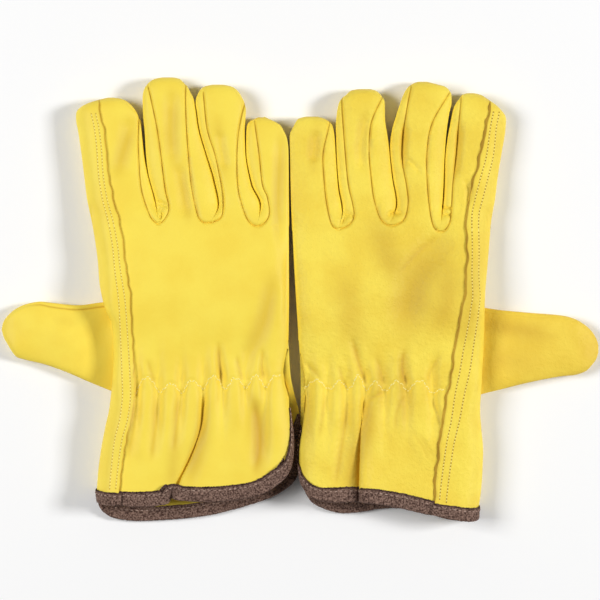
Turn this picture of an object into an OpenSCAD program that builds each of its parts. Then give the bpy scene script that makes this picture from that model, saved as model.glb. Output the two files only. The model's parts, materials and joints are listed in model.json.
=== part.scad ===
// A pair of unlined leather work gloves, laid palm down side by side, thumbs out.
// Each glove is sewn from a back, a palm that wraps round the index side and laps over the back,
// finger side walls (fourchettes), a two-piece thumb, a wrist elastic and a bound cuff with a side vent.
// A glove is drawn in its own plan: u runs from the little-finger edge towards the thumb,
// y runs from the finger roots towards the tips, z is up from the surface that it lies on.

/* [Leather] */
// Thickness of the leather
leather_t = 1.2; // [0.8:0.1:1.6]
// Gap left between two panels along a sewn seam
seam_gap = 0.3; // [0.2:0.05:0.5]
// Clearance between stacked layers, such as a lap or a binding
layer_gap = 0.2; // [0.15:0.05:0.3]
// Diameter of the sewing thread
thread_d = 0.6; // [0.4:0.1:0.8]

/* [Pair] */
// Gap between the little-finger edges of the two gloves
pair_gap = 3; // [3:0.5:20]
// How much lower the left glove lies than the right one
left_drop = 2.5; // [0:0.5:8]

/* [Fingers: index, middle, ring, little] */
// Length of the right glove's fingers from the root line
right_finger_l = [74, 84.5, 80, 62]; // [50:0.5:100]
// Length of the left glove's fingers from the root line
left_finger_l = [78.5, 86, 81, 64]; // [50:0.5:100]
// Place of the right glove's fingertips across the hand
right_tip_u = [106.5, 72, 41, 13.5]; // [10:0.5:120]
// Place of the left glove's fingertips across the hand
left_tip_u = [113, 80, 42, 13]; // [10:0.5:120]
// Width of the right glove's fingers near the tip
right_tip_w = [36, 29, 28, 23]; // [20:0.5:38]
// Width of the left glove's fingers near the tip
left_tip_w = [31, 29.5, 28.5, 25]; // [20:0.5:38]
// Place of the right glove's three crotches across the hand, index side first
right_crotch_u = [76.5, 48.5, 20.5]; // [18:0.5:90]
// Place of the left glove's three crotches across the hand, index side first
left_crotch_u = [86, 59, 26.5]; // [18:0.5:90]
// Height of a finger at its root
finger_root_h = 17; // [13:0.5:20]
// Height of a finger near its tip
finger_tip_h = 15; // [12:0.5:18]
// Free gap between neighbouring fingers at the root
finger_gap = 1.2; // [0.8:0.1:2]

/* [Hand] */
// Width across the right hand at the root, mid palm, wrist and cuff
right_hand_w = [115, 110, 105.5, 112]; // [95:0.5:125]
// Width across the left hand at the root, mid palm, wrist and cuff
left_hand_w = [116.5, 113, 109.5, 111]; // [95:0.5:125]
// Height of the hand at the root, mid palm, wrist and cuff
hand_h = [18, 22, 18, 20]; // [15:0.5:26]
// Height of the fold at either side of the hand
side_h = 6; // [5:0.5:8]
// Distance from the root line to mid palm
mid_palm_y = 43; // [35:1:50]
// Distance from the root line to the wrist elastic
wrist_y = 92; // [85:1:100]
// Distance from the root line to the cuff edge of the back, right and left
back_cuff_y = [152, 155]; // [140:1:165]
// Distance from the root line to the cuff edge of the palm, right and left
palm_cuff_y = [168, 166]; // [155:1:175]

/* [Lap seam] */
// Distance of the palm's lapped edge from the thumb-side fold
lap_in = 15.5; // [13:0.5:20]
// How far the back reaches under the lap
lap_under = 8; // [7:0.5:9]
// Distance of the first and second stitch row from the lapped edge
lap_row_in = [2.2, 6]; // [1.5:0.1:7]

/* [Wrist elastic] */
// Width of the elastic tape
elastic_w = 8; // [6:0.5:10]
// Thickness of the elastic tape
elastic_t = 1; // [0.8:0.1:1.4]
// Height of the gathers above and below the plain back
gather_h = 1.3; // [0.5:0.1:1.8]
// Width of one gather
gather_pitch = 12.5; // [10:0.5:16]
// Reach of the gathers along the hand to either side of the elastic
gather_reach = 24; // [15:1:28]

/* [Cuff] */
// Width of the binding seen on one face
binding_w = 8; // [6:0.5:10]
// Thickness of the binding
binding_t = 1; // [0.8:0.1:1.4]
// Length of the vent above the back's cuff edge
vent_l = 40; // [30:1:46]
// Reach across the hand of the vent's rounded corner
vent_corner = 21; // [16:1:26]

/* [Thumb: right, left] */
// Reach of the thumb tip across the hand
thumb_tip_u = [168, 178.5]; // [160:0.5:185]
// Distance of the thumb tip's middle below the root line
thumb_tip_y = [62.5, 67.5]; // [58:0.5:75]
// Distance of the thumb root's middle below the root line
thumb_root_y = [69, 70]; // [66:0.5:72]
// Width of the thumb at its root
thumb_root_w = [49, 50]; // [44:0.5:52]
// Width of the thumb near its tip
thumb_tip_w = [31, 33]; // [26:0.5:36]
// Height of the thumb
thumb_h = 11.5; // [9:0.5:12]
// How far the thumb's root tucks in under the thumb-side fold
thumb_tuck = 4; // [3.5:0.1:4.5]

/* [Hidden] */
SIDES = ["right", "left"];
HAND_PIECES = [
    "back", "palm", "elastic", "elastic_thread", "lap_thread", "cuff_binding", "binding_thread"
];
DIGIT_PIECES = [
    "index_back", "index_palm", "index_fourchette", "index_lap_thread",
    "middle_back", "middle_palm", "middle_fourchette_thumb_side", "middle_fourchette_little_side",
    "ring_back", "ring_palm", "ring_fourchette_thumb_side", "ring_fourchette_little_side",
    "little_back", "little_palm", "little_fourchette",
    "thumb_back", "thumb_front"
];

RIGHT = 0;
LEFT = 1;
INDEX = 0;
MIDDLE = 1;
RING = 2;
LITTLE = 3;

leather_yellow = "gold";
thread_yellow = "khaki";
elastic_white = "ivory";
binding_brown = "saddlebrown";

// Roundness of the sections: 2 is an ellipse, more is boxier
dome_power = 2.4;
floor_power = 3;
finger_power = 3;
thumb_power = 2.5;
// The under side is pressed flat: its curve would sink this much too far and is cut at the floor
press = 1.2;
// Angles of a finger's four seams round its section
little_top_seam = 50;
thumb_top_seam = 130;
thumb_low_seam = 230;
little_low_seam = 310;
// A fingertip closes over this share of its width, down to this share of its section
cap_share = 0.45;
cap_close = 0.06;
// Height of the fingertip's point as a share of the finger's height
tip_rise = 0.4;

// Values of the two gloves by hand
finger_l = [right_finger_l, left_finger_l];
tip_u = [right_tip_u, left_tip_u];
tip_w = [right_tip_w, left_tip_w];
crotch_u = [right_crotch_u, left_crotch_u];
hand_w = [right_hand_w, left_hand_w];

// Both gloves are centred on the origin in plan
middle_u = (thumb_tip_u[RIGHT] - thumb_tip_u[LEFT]) / 2;
top_y = max(max(right_finger_l), max(left_finger_l) - left_drop);
low_y = min(-palm_cuff_y[RIGHT], -palm_cuff_y[LEFT] - left_drop) - layer_gap - binding_t;
root_y = -(top_y + low_y) / 2;

// The cuff's binding and its thread lift the palm off the floor
cuff_lift = layer_gap + binding_t + layer_gap + thread_d;
// A lapped layer lies this far above the layer under it
lap_off = leather_t + layer_gap;

// Smooth step from 0 at a to 1 at b
function ease(a, b, x) = let (t = max(0, min(1, (x - a) / (b - a)))) t * t * (3 - 2 * t);
function mix(a, b, t) = a + (b - a) * t;
// Power that keeps the sign
function spow(x, p) = sign(x) * pow(abs(x), p);
function steps(a, b, n) = [for (i = [0:n]) mix(a, b, i / n)];
function tail(list) = [for (i = [1:len(list) - 1]) list[i]];

// Runs through four values at the root, mid palm, wrist and cuff
function along(values, y, h) =
    y > -mid_palm_y ? mix(values[0], values[1], ease(0, mid_palm_y, -y))
    : y > -wrist_y ? mix(values[1], values[2], ease(mid_palm_y, wrist_y, -y))
    : mix(values[2], values[3], ease(wrist_y, back_cuff_y[h], -y));

// Section of the hand: angle 0 at the little-finger edge, 90 on top, 180 at the thumb side, 270 below
function hand_half(h, y) = along(hand_w[h], y, h) / 2;
function section_angle(half, u, power) = acos(spow(max(-1, min(1, 1 - u / half)), power / 2));
function hand_angle(h, y, u) = section_angle(hand_half(h, y), u, dome_power);
function floor_angle(h, y, u) = 360 - section_angle(hand_half(h, y), u, floor_power);

// Place of a line on the back, inset millimetres from the lapped edge towards the thumb side
function lap_u(h, y, inset) = 2 * hand_half(h, y) - lap_in + inset;
function lap_angle(h, y, inset) = hand_angle(h, y, lap_u(h, y, inset));

// The gathers fade out towards both sides and away from the elastic
function gather(h, y, u) = let (
        side = ease(0, gather_pitch, u) * ease(0, gather_pitch, lap_u(h, y, 0) - u),
        reach = exp(-pow((y + wrist_y) / gather_reach, 2))
    ) gather_h * side * reach * cos(360 * u / gather_pitch);

// Height of the palm's under side above the floor, risen by the foot of the elastic
function lift(y) = cuff_lift * ease(wrist_y - 2 * elastic_w, wrist_y + elastic_w / 2, -y);

// Height of the palm's edge: towards the vent it falls flat at the little-finger side
function palm_side_h(h, a, y) =
    a > 270 ? mix(side_h, lift(y), ease(wrist_y, back_cuff_y[h] - vent_l - seam_gap, -y)) : side_h;

// A point of the hand's skin, off millimetres outside its plain surface
function hand_point(h, a, y, off) = let (
        half = hand_half(h, y),
        top = along(hand_h, y, h),
        upper = sin(a) >= 0,
        p = upper ? dome_power : floor_power,
        u = half - (half + off) * spow(cos(a), 2 / p),
        rise = pow(abs(sin(a)), 2 / p),
        above = side_h + (top - side_h + off) * rise + gather(h, y, u),
        edge = palm_side_h(h, a, y),
        below = max(lift(y) - off, edge - (edge * press + off) * rise)
    ) [u, y, upper ? above : below];

// The palm's wrap rises over the back's edge as it comes round the thumb-side fold
function wrap_off(h, a, y) = lap_off * ease(180, lap_angle(h, y, lap_under) + 1, a);

// Cuff edge of the back and of the palm, with the vent's rounded corner at the little-finger side
function corner(u, reach) = let (t = max(0, 1 - u / reach)) 1 - sqrt(max(0, 1 - t * t));
// The palm's corner is taller, and as much wider as keeps it equally round at the foot
function palm_vent_l(h) = palm_cuff_y[h] - back_cuff_y[h] + vent_l;
function palm_corner(h) = vent_corner * sqrt(palm_vent_l(h) / vent_l);
function cuff_low(h, a) = mix(back_cuff_y[h], palm_cuff_y[h], ease(110, 250, a));
function vent_rise(h, a) = let (u = hand_point(h, a, -wrist_y, 0)[0])
    a < 180 ? vent_l * corner(u, vent_corner) : palm_vent_l(h) * corner(u, palm_corner(h));
function cuff_edge(h, a) = vent_rise(h, a) - cuff_low(h, a);

// A closed shell between two matching grids of points, less the cells that skip names
module shell(outer, inner, skip = function(i, j) false) {
    rows = len(outer);
    cols = len(outer[0]);
    count = rows * cols;
    there = function(i, j) i >= 0 && j >= 0 && i < cols - 1 && j < rows - 1 && !skip(i, j);
    quad = function(a, b, c, d) [[a, b, c], [a, c, d]];
    cells = [for (j = [0:rows - 2], i = [0:cols - 2]) if (there(i, j)) [i, j]];
    faces = [for (c = cells) let (
            i = c[0],
            j = c[1],
            p = j * cols + i,
            q = p + 1,
            r = q + cols,
            s = p + cols
        ) each concat(
            quad(p, q, r, s),
            quad(s + count, r + count, q + count, p + count),
            there(i, j - 1) ? [] : quad(q, p, p + count, q + count),
            there(i, j + 1) ? [] : quad(s, r, r + count, s + count),
            there(i - 1, j) ? [] : quad(p, s, s + count, p + count),
            there(i + 1, j) ? [] : quad(r, q, q + count, r + count)
        )];
    polyhedron([for (row = concat(outer, inner)) each row], faces);
}

// Puts a glove's own plan into the pair's frame
module place(h) {
    shift = [middle_u, root_y - (h == LEFT ? left_drop : 0), 0];
    translate(shift) mirror([h == RIGHT ? 1 : 0, 0, 0]) translate([pair_gap / 2, 0, 0]) children();
}

// Columns of a hand panel are functions that give an angle at each y, and rows are heights y
module hand_shell(h, columns, rows, outer_off, inner_off, skip = function(i, j) false) {
    grid = function(off) [for (row = rows)
        [for (column = columns) let (
            a = column(row(90)),
            y = row(a)
        ) hand_point(h, a, y, off(a, y))]];
    place(h) shell(grid(outer_off), grid(inner_off), skip);
}
function level_rows(list) = [for (y = list) function(a) y];
// Rows that run from a level down to the cuff edge of each column
function cuff_rows(h, from, n) =
    [for (t = tail(steps(0, 1, n))) function(a) mix(from, cuff_edge(h, a), t)];
function off(value) = function(a, y) value;

elastic_top = -wrist_y + elastic_w / 2;
elastic_low = -wrist_y - elastic_w / 2;
elastic_rows = [elastic_top, -wrist_y + thread_d / 2, -wrist_y - thread_d / 2, elastic_low];
root_rows = steps(-seam_gap / 2, elastic_top, 6);
corner_columns = 5;
back_columns = 28;
// The last columns of the back lie under the lap, and the elastic stops short of them
lapped_columns = 5;
edge_columns = 3;

// Columns across the vent's corner, close together where it is steep
function corner_u(reach, k) = reach * (1 - cos(90 * k / corner_columns));
function back_angles(h) = concat(
    [for (k = [0:corner_columns - 1])
        function(y) max(hand_angle(h, y, corner_u(vent_corner, k)), seam_gap)],
    [for (t = steps(0, 1, back_columns))
        function(y) mix(hand_angle(h, y, vent_corner), lap_angle(h, y, lap_under), t)]
);
function elastic_angles(h) = let (all = back_angles(h))
    [for (i = [edge_columns:len(all) - 1 - lapped_columns]) all[i]];

module back(h) {
    rows = concat(level_rows(concat(root_rows, tail(elastic_rows))), cuff_rows(h, elastic_low, 5));
    color(leather_yellow) hand_shell(h, back_angles(h), rows, off(0), off(-leather_t));
}

// The elastic lies inside the back, and its thread holds it from outside
module elastic(h) {
    top = -leather_t - layer_gap;
    color(elastic_white)
        hand_shell(h, elastic_angles(h), level_rows(elastic_rows), off(top), off(top - elastic_t));
}
module elastic_thread(h) {
    rows = level_rows([elastic_rows[1], elastic_rows[2]]);
    color(thread_yellow)
        hand_shell(h, elastic_angles(h), rows, off(layer_gap + thread_d), off(layer_gap));
}

// The thumb's root line follows the thumb-side fold between the two ends of the thumb hole
function hole_y(h, end) = -thumb_root_y[h] + end * (thumb_root_w[h] / 2 + seam_gap);
function root_line_u(h, y) = let (
        top = 2 * hand_half(h, hole_y(h, 1)),
        low = 2 * hand_half(h, hole_y(h, -1)),
        t = (hole_y(h, 1) - y) / (hole_y(h, 1) - hole_y(h, -1))
    ) mix(top, low, t) - thumb_tuck;

hole_columns = 8;
wrap_columns = 5;
floor_columns = 5;
hole_rows = 5;

function palm_angles(h) = let (
        hole_u = function(y) root_line_u(h, max(hole_y(h, -1), min(hole_y(h, 1), y))) - seam_gap,
        low_edge = function(y) floor_angle(h, y, hole_u(y)),
        high_edge = function(y) hand_angle(h, y, hole_u(y))
    ) concat(
        [for (t = steps(0, 1, wrap_columns)) function(y) mix(lap_angle(h, y, 0), high_edge(y), t)],
        [for (t = tail(steps(0, 1, hole_columns))) function(y) mix(high_edge(y), low_edge(y), t)],
        [for (t = tail(steps(0, 1, floor_columns)))
            function(y) mix(low_edge(y), floor_angle(h, y, palm_corner(h)), t)],
        [for (k = [corner_columns - 1:-1:0])
            function(y) min(floor_angle(h, y, corner_u(palm_corner(h), k)), 360 - seam_gap)]
    );

module palm(h) {
    above = steps(-seam_gap / 2, hole_y(h, 1), 3);
    beside = tail(steps(hole_y(h, 1), hole_y(h, -1), hole_rows));
    rows = concat(level_rows(concat(above, beside)), cuff_rows(h, hole_y(h, -1), 5));
    in_hole = function(i, j) i >= wrap_columns && i < wrap_columns + hole_columns
        && j >= len(above) - 1 && j < len(above) - 1 + hole_rows;
    color(leather_yellow) hand_shell(
        h, palm_angles(h), rows,
        function(a, y) wrap_off(h, a, y),
        function(a, y) wrap_off(h, a, y) - leather_t,
        in_hole
    );
}

// Two rows of thread on the lap, from the root line to the binding
module lap_thread(h) {
    rows = level_rows(steps(-seam_gap / 2, -back_cuff_y[h] + binding_w + layer_gap + seam_gap, 13));
    clear = lap_off + layer_gap;
    for (inset = lap_row_in)
        color(thread_yellow) hand_shell(
            h, [for (k = [-1, 1]) function(y) lap_angle(h, y, inset + k * thread_d / 2)], rows,
            off(clear + thread_d), off(clear)
        );
}

// Angles round the cuff, at the panels' own columns, from the back's vent edge to the palm's
function cuff_angles(h) = let (
        y = -back_cuff_y[h],
        lap = [for (column = palm_angles(h)) column(y)]
    ) concat([for (column = back_angles(h)) if (column(y) < lap[0] - seam_gap) column(y)], lap);
// A point at a distance in from the cuff edge, square to it in plan, and off the leather's surface
function cuff_point(h, a, distance, off) = let (
        probe = 0.25,
        plan_u = function(a) hand_point(h, a, -wrist_y, 0)[0],
        run = abs(plan_u(a + probe) - plan_u(a - probe)),
        climb = abs(vent_rise(h, a + probe) - vent_rise(h, a - probe)),
        slope = norm([run, climb]),
        in_u = plan_u(a) + climb / slope * distance,
        in_y = cuff_edge(h, a) + run / slope * distance,
        turned = a < 180 ? hand_angle(h, -wrist_y, in_u) : floor_angle(h, -wrist_y, in_u),
        in_a = climb > 0 ? max(seam_gap, min(360 - seam_gap, turned)) : a
    ) hand_point(h, in_a, in_y, off);
// Over the lap the binding covers two layers of leather
function cuff_off(h, a) = let (edge = lap_angle(h, -back_cuff_y[h], 0))
    ease(edge - 8, edge - 2, a) * wrap_off(h, a, -back_cuff_y[h]);

// A channel folded over the leather's edge: outer leaf, fold and inner leaf
module cuff_binding(h) {
    out_face = layer_gap + binding_t;
    in_face = -leather_t - layer_gap - binding_t;
    fold = -layer_gap - binding_t;
    bend = binding_w / 4;
    section = function(o) [
        [binding_w, o + out_face], [bend, o + out_face], [fold, o + out_face],
        [fold, in_face], [bend, in_face], [binding_w, in_face],
        [binding_w, in_face + binding_t], [bend, in_face + binding_t], [-layer_gap, in_face + binding_t],
        [-layer_gap, o + layer_gap], [bend, o + layer_gap], [binding_w, o + layer_gap]
    ];
    color(binding_brown) cuff_sweep(h, section);
}

// One row of thread near the binding's inner edge
module binding_thread(h) {
    inset = binding_w - 2 * thread_d;
    base = binding_t + 2 * layer_gap;
    section = function(o) [
        [inset + thread_d / 2, o + base + thread_d], [inset - thread_d / 2, o + base + thread_d],
        [inset - thread_d / 2, o + base], [inset + thread_d / 2, o + base]
    ];
    color(thread_yellow) cuff_sweep(h, section);
}

// Sweeps a section round the cuff: its points are distances in from the edge and off the surface
module cuff_sweep(h, section) {
    place(h) tube([for (a = cuff_angles(h))
        [for (p = section(cuff_off(h, a))) cuff_point(h, a, p[0], p[1])]]);
}

// A solid swept through matching closed rings of points
module tube(rings) {
    n = len(rings[0]);
    last = (len(rings) - 1) * n;
    sides = [for (j = [0:len(rings) - 2], i = [0:n - 1]) let (
            p = j * n + i,
            q = j * n + (i + 1) % n
        ) each [[p, q, q + n], [p, q + n, p + n]]];
    polyhedron([for (ring = rings) each ring],
        concat(sides, [[for (i = [n - 1:-1:0]) i]], [[for (i = [0:n - 1]) last + i]]));
}

// Section of a finger: angle 0 towards the little finger, 90 on top, 180 towards the thumb, 270 below
function finger_low_u(h, f) = f == LITTLE ? 0 : crotch_u[h][f];
function finger_high_u(h, f) = f == INDEX ? hand_w[h][0] : crotch_u[h][f - 1];
function finger_root_u(h, f) = (finger_low_u(h, f) + finger_high_u(h, f)) / 2;
function finger_root_w(h, f) = finger_high_u(h, f) - finger_low_u(h, f);
function finger_half(h, f, v) = (mix(finger_root_w(h, f), tip_w[h][f], v) - finger_gap) / 2;
function cap_start(h, f) = 1 - cap_share * tip_w[h][f] / finger_l[h][f];
function cap_scale(start, v) = v <= start ? 1
    : max(cap_close, sqrt(max(0, 1 - pow((v - start) / (1 - start), 2))));
function finger_lean(h, f) = atan2(tip_u[h][f] - finger_root_u(h, f), finger_l[h][f]);

function finger_point(h, f, a, v, off) = let (
        size = cap_scale(cap_start(h, f), v),
        side = -(finger_half(h, f, v) + off) * size * spow(cos(a), 2 / finger_power),
        turn = finger_lean(h, f) * v,
        u = mix(finger_root_u(h, f), tip_u[h][f], v) + side * cos(turn),
        y = mix(seam_gap / 2, finger_l[h][f] + off, v) - side * sin(turn)
    ) [u, y, digit_z(a, mix(finger_root_h, finger_tip_h, v), size, finger_power, off)];

// Height of a point of a digit's section, pressed flat on the floor
function digit_z(a, height, size, power, off) = let (
        rise = spow(sin(a), 2 / power),
        half = height / 2,
        z = half + (half * (rise < 0 ? press : 1) + off) * rise
    ) mix(height * tip_rise, max(-off, z), size);

// Angle on a finger at a distance inset from the lapped edge towards the thumb side
function finger_lap_angle(h, v, inset) = let (half = finger_half(h, INDEX, v))
    section_angle(half, 2 * half - lap_in + inset, finger_power);
function finger_wrap_off(h, a, v) = lap_off * ease(180, finger_lap_angle(h, v, lap_under) + 1, a);

// Rows along a digit: even up to the cap, then close together round the tip
function digit_rows(start, body, cap) = concat(
    steps(0, start, body),
    [for (k = [1:cap]) mix(start, 1, sin(90 * k / cap))]
);
// Half a seam gap as an angle round a finger
function seam_angle(h, f) = seam_gap / 2 * 180 / (PI * finger_half(h, f, 0.5));

// Part of a finger's skin between two columns, which are functions of the place along the finger
module finger_shell(h, f, from, to, n, outer_off, inner_off) {
    gap = seam_angle(h, f);
    grid = function(off) [for (v = digit_rows(cap_start(h, f), 4, 4)) [for (t = steps(0, 1, n)) let (
            a = mix(from(v) + gap, to(v) - gap, t)
        ) finger_point(h, f, a, v, off(a, v))]];
    place(h) shell(grid(outer_off), grid(inner_off));
}
function fixed(a) = function(v) a;

module finger_back(h, f) {
    from = fixed(f == LITTLE ? 0 : little_top_seam);
    to = f == INDEX ? function(v) finger_lap_angle(h, v, lap_under) : fixed(thumb_top_seam);
    color(leather_yellow) finger_shell(h, f, from, to, f == LITTLE ? 8 : 5, off(0), off(-leather_t));
}
module finger_palm(h, f) {
    from = f == INDEX ? function(v) finger_lap_angle(h, v, 0) : fixed(thumb_low_seam);
    to = fixed(f == LITTLE ? 360 : little_low_seam);
    wrap = function(a, v) f == INDEX ? finger_wrap_off(h, a, v) : 0;
    color(leather_yellow) finger_shell(
        h, f, from, to, f == INDEX ? 14 : f == LITTLE ? 8 : 4,
        wrap, function(a, v) wrap(a, v) - leather_t
    );
}
module fourchette_little_side(h, f) {
    color(leather_yellow) finger_shell(
        h, f, fixed(little_low_seam - 360), fixed(little_top_seam), 4, off(0), off(-leather_t)
    );
}
module fourchette_thumb_side(h, f) {
    color(leather_yellow) finger_shell(
        h, f, fixed(thumb_top_seam), fixed(thumb_low_seam), 4, off(0), off(-leather_t)
    );
}
// Two rows of thread on the index finger's lap
module index_lap_thread(h) {
    clear = lap_off + layer_gap;
    for (inset = lap_row_in) {
        grid = function(off) [for (v = steps(0, cap_start(h, INDEX), 8)) [for (k = [-1, 1]) let (
                a = finger_lap_angle(h, v, inset + k * thread_d / 2)
            ) finger_point(h, INDEX, a, v, off)]];
        color(thread_yellow) place(h) shell(grid(clear + thread_d), grid(clear));
    }
}

// Section of the thumb: angle 0 towards the fingers, 90 on top, 180 towards the cuff, 270 below
function thumb_root(h) = [root_line_u(h, -thumb_root_y[h]), -thumb_root_y[h]];
function thumb_end(h) = [thumb_tip_u[h], -thumb_tip_y[h]];
function thumb_cap_start(h) = 1 - cap_share * thumb_tip_w[h] / norm(thumb_end(h) - thumb_root(h));
function thumb_turn(h, v) = let (
        line = root_line_u(h, hole_y(h, 1)) - root_line_u(h, hole_y(h, -1)),
        way = thumb_end(h) - thumb_root(h)
    ) mix(-atan2(line, hole_y(h, 1) - hole_y(h, -1)), atan2(way[1], way[0]), v);

function thumb_point(h, a, v, off) = let (
        size = cap_scale(thumb_cap_start(h), v),
        half = mix(thumb_root_w[h], thumb_tip_w[h], v) / 2 + off,
        side = half * size * spow(cos(a), 2 / thumb_power),
        way = thumb_end(h) - thumb_root(h),
        reach = v * (norm(way) + off) / norm(way),
        p = thumb_root(h) + way * reach + side * [-sin(thumb_turn(h, v)), cos(thumb_turn(h, v))]
    ) [p[0], p[1], digit_z(a, thumb_h, size, thumb_power, off)];

module thumb_half(h, from, to) {
    gap = seam_gap * 180 / (PI * thumb_tip_w[h]);
    grid = function(off) [for (v = digit_rows(thumb_cap_start(h), 5, 4))
        [for (t = steps(0, 1, 8)) thumb_point(h, mix(to - gap, from + gap, t), v, off)]];
    color(leather_yellow) place(h) shell(grid(0), grid(-leather_t));
}

// The right glove
back(RIGHT);  // right_back
palm(RIGHT);  // right_palm
elastic(RIGHT);  // right_elastic
elastic_thread(RIGHT);  // right_elastic_thread
lap_thread(RIGHT);  // right_lap_thread
cuff_binding(RIGHT);  // right_cuff_binding
binding_thread(RIGHT);  // right_binding_thread
finger_back(RIGHT, INDEX);  // right_index_back
finger_palm(RIGHT, INDEX);  // right_index_palm
fourchette_little_side(RIGHT, INDEX);  // right_index_fourchette
index_lap_thread(RIGHT);  // right_index_lap_thread
finger_back(RIGHT, MIDDLE);  // right_middle_back
finger_palm(RIGHT, MIDDLE);  // right_middle_palm
fourchette_thumb_side(RIGHT, MIDDLE);  // right_middle_fourchette_thumb_side
fourchette_little_side(RIGHT, MIDDLE);  // right_middle_fourchette_little_side
finger_back(RIGHT, RING);  // right_ring_back
finger_palm(RIGHT, RING);  // right_ring_palm
fourchette_thumb_side(RIGHT, RING);  // right_ring_fourchette_thumb_side
fourchette_little_side(RIGHT, RING);  // right_ring_fourchette_little_side
finger_back(RIGHT, LITTLE);  // right_little_back
finger_palm(RIGHT, LITTLE);  // right_little_palm
fourchette_thumb_side(RIGHT, LITTLE);  // right_little_fourchette
thumb_half(RIGHT, 0, 180);  // right_thumb_back
thumb_half(RIGHT, 180, 360);  // right_thumb_front

// The left glove
back(LEFT);  // left_back
palm(LEFT);  // left_palm
elastic(LEFT);  // left_elastic
elastic_thread(LEFT);  // left_elastic_thread
lap_thread(LEFT);  // left_lap_thread
cuff_binding(LEFT);  // left_cuff_binding
binding_thread(LEFT);  // left_binding_thread
finger_back(LEFT, INDEX);  // left_index_back
finger_palm(LEFT, INDEX);  // left_index_palm
fourchette_little_side(LEFT, INDEX);  // left_index_fourchette
index_lap_thread(LEFT);  // left_index_lap_thread
finger_back(LEFT, MIDDLE);  // left_middle_back
finger_palm(LEFT, MIDDLE);  // left_middle_palm
fourchette_thumb_side(LEFT, MIDDLE);  // left_middle_fourchette_thumb_side
fourchette_little_side(LEFT, MIDDLE);  // left_middle_fourchette_little_side
finger_back(LEFT, RING);  // left_ring_back
finger_palm(LEFT, RING);  // left_ring_palm
fourchette_thumb_side(LEFT, RING);  // left_ring_fourchette_thumb_side
fourchette_little_side(LEFT, RING);  // left_ring_fourchette_little_side
finger_back(LEFT, LITTLE);  // left_little_back
finger_palm(LEFT, LITTLE);  // left_little_palm
fourchette_thumb_side(LEFT, LITTLE);  // left_little_fourchette
thumb_half(LEFT, 0, 180);  // left_thumb_back
thumb_half(LEFT, 180, 360);  // left_thumb_front
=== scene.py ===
"""Dresses a pair of sewn leather work gloves, laid palm down side by side with their backs up.

Shapes are written in millimetres in each glove's own plan: u runs from the little-finger edge
towards the thumb, y from the finger roots towards the tips, z is up from the surface below.
Outlines and seams are written as points of the 600 by 600 photograph and turned into that plan.
"""

import json
import math

import bmesh
import bpy
import numpy as np
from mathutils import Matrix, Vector


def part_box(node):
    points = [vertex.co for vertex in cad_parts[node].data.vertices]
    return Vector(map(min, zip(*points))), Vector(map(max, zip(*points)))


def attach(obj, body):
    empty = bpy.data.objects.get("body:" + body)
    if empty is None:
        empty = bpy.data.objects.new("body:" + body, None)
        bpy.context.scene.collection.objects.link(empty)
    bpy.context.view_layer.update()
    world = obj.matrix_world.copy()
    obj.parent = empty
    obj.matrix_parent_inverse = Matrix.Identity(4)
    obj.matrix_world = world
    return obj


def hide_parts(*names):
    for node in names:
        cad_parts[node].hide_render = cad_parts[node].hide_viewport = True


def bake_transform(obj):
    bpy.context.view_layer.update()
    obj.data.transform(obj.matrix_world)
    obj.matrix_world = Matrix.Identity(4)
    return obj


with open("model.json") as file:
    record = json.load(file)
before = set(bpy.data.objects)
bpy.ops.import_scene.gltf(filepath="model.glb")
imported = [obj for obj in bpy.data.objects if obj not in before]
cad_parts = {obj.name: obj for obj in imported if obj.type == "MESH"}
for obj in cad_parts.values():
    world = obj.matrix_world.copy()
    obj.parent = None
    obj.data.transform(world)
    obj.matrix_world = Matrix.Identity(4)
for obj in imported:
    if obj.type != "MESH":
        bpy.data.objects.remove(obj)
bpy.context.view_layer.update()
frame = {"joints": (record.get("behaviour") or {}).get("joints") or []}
joints = {j["name"]: j for j in frame["joints"]}

MADE = "_made"
FINGERS = ("index", "middle", "ring", "little")
MM = 0.001
MM_PER_PX = 0.58
PHOTO_SIZE = 600
PHOTO_MID = (299.5, 299.0)

# Layers: thicknesses, and how the lap lies on the back.
LEATHER_T = 1.2
ELASTIC_T = 1.0
BINDING_T = 0.9
LAYER_GAP = 0.25
LAP_RISE = 1.3
LAP_FADE = 8.0
LAP_UNDER = 8.0

# Heights over the surface below; pairs give the height at a place along the hand.
SIDE_H = 6.0
GAP_H = 9.5
TIP_H = 5.0
LITTLE_SIDE_H = 12.5
VENT_SIDE_H = 8.5
FINGER_H = (17.0, 14.5)
HAND_H = ((-170.0, 19.0), (-110.0, 18.0), (-88.0, 17.0), (-40.0, 21.0), (0.0, 17.5))
THUMB_H = (6.5, 7.0, 9.5, 10.0, 9.0)
THUMB_SIDE_H = 5.0
PALM_LIFT = 1.6

# How the sections round, and where panels turn and bend.
LITTLE_ROUND = 12.0
THUMB_ROUND = (
    (-170.0, 14.0), (-110.0, 12.0), (-90.0, 5.0), (-50.0, 5.0), (-30.0, 12.0), (0.0, 14.0),
)
SIDE_POWER = 2.3
TOP_POWER = 2.6
FLOOR_POWER = 5.0
TIP_POWER = 2.2
WALL_TURN = 38.0
VENT_EASE = 22.0
THUMB_INSET = 9.0
THUMB_SEAM = (2.8, 2.6, 0.8, 0.5)

# Elastic, gathers, folds and seams.
ELASTIC_Y = -92.0
ELASTIC_W = 8.0
GATHER_H = 3.1
GATHER_W = 2.9
GATHER_REACH = (15.0, 24.0)
DENT = 1.9
FOLD_LEAN = 2.0
FLAP_FALL = (11.0, 8.0)
SEAM_GROOVE = 1.4
SEAM_REACH = 0.7
# Painted shade along the seams and the sharp folds: how far it reaches, and how strong it is on the
# seams.
PAINTED_SHADE_REACH = 0.38
SEAM_PAINTED_SHADE = 0.75

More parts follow.
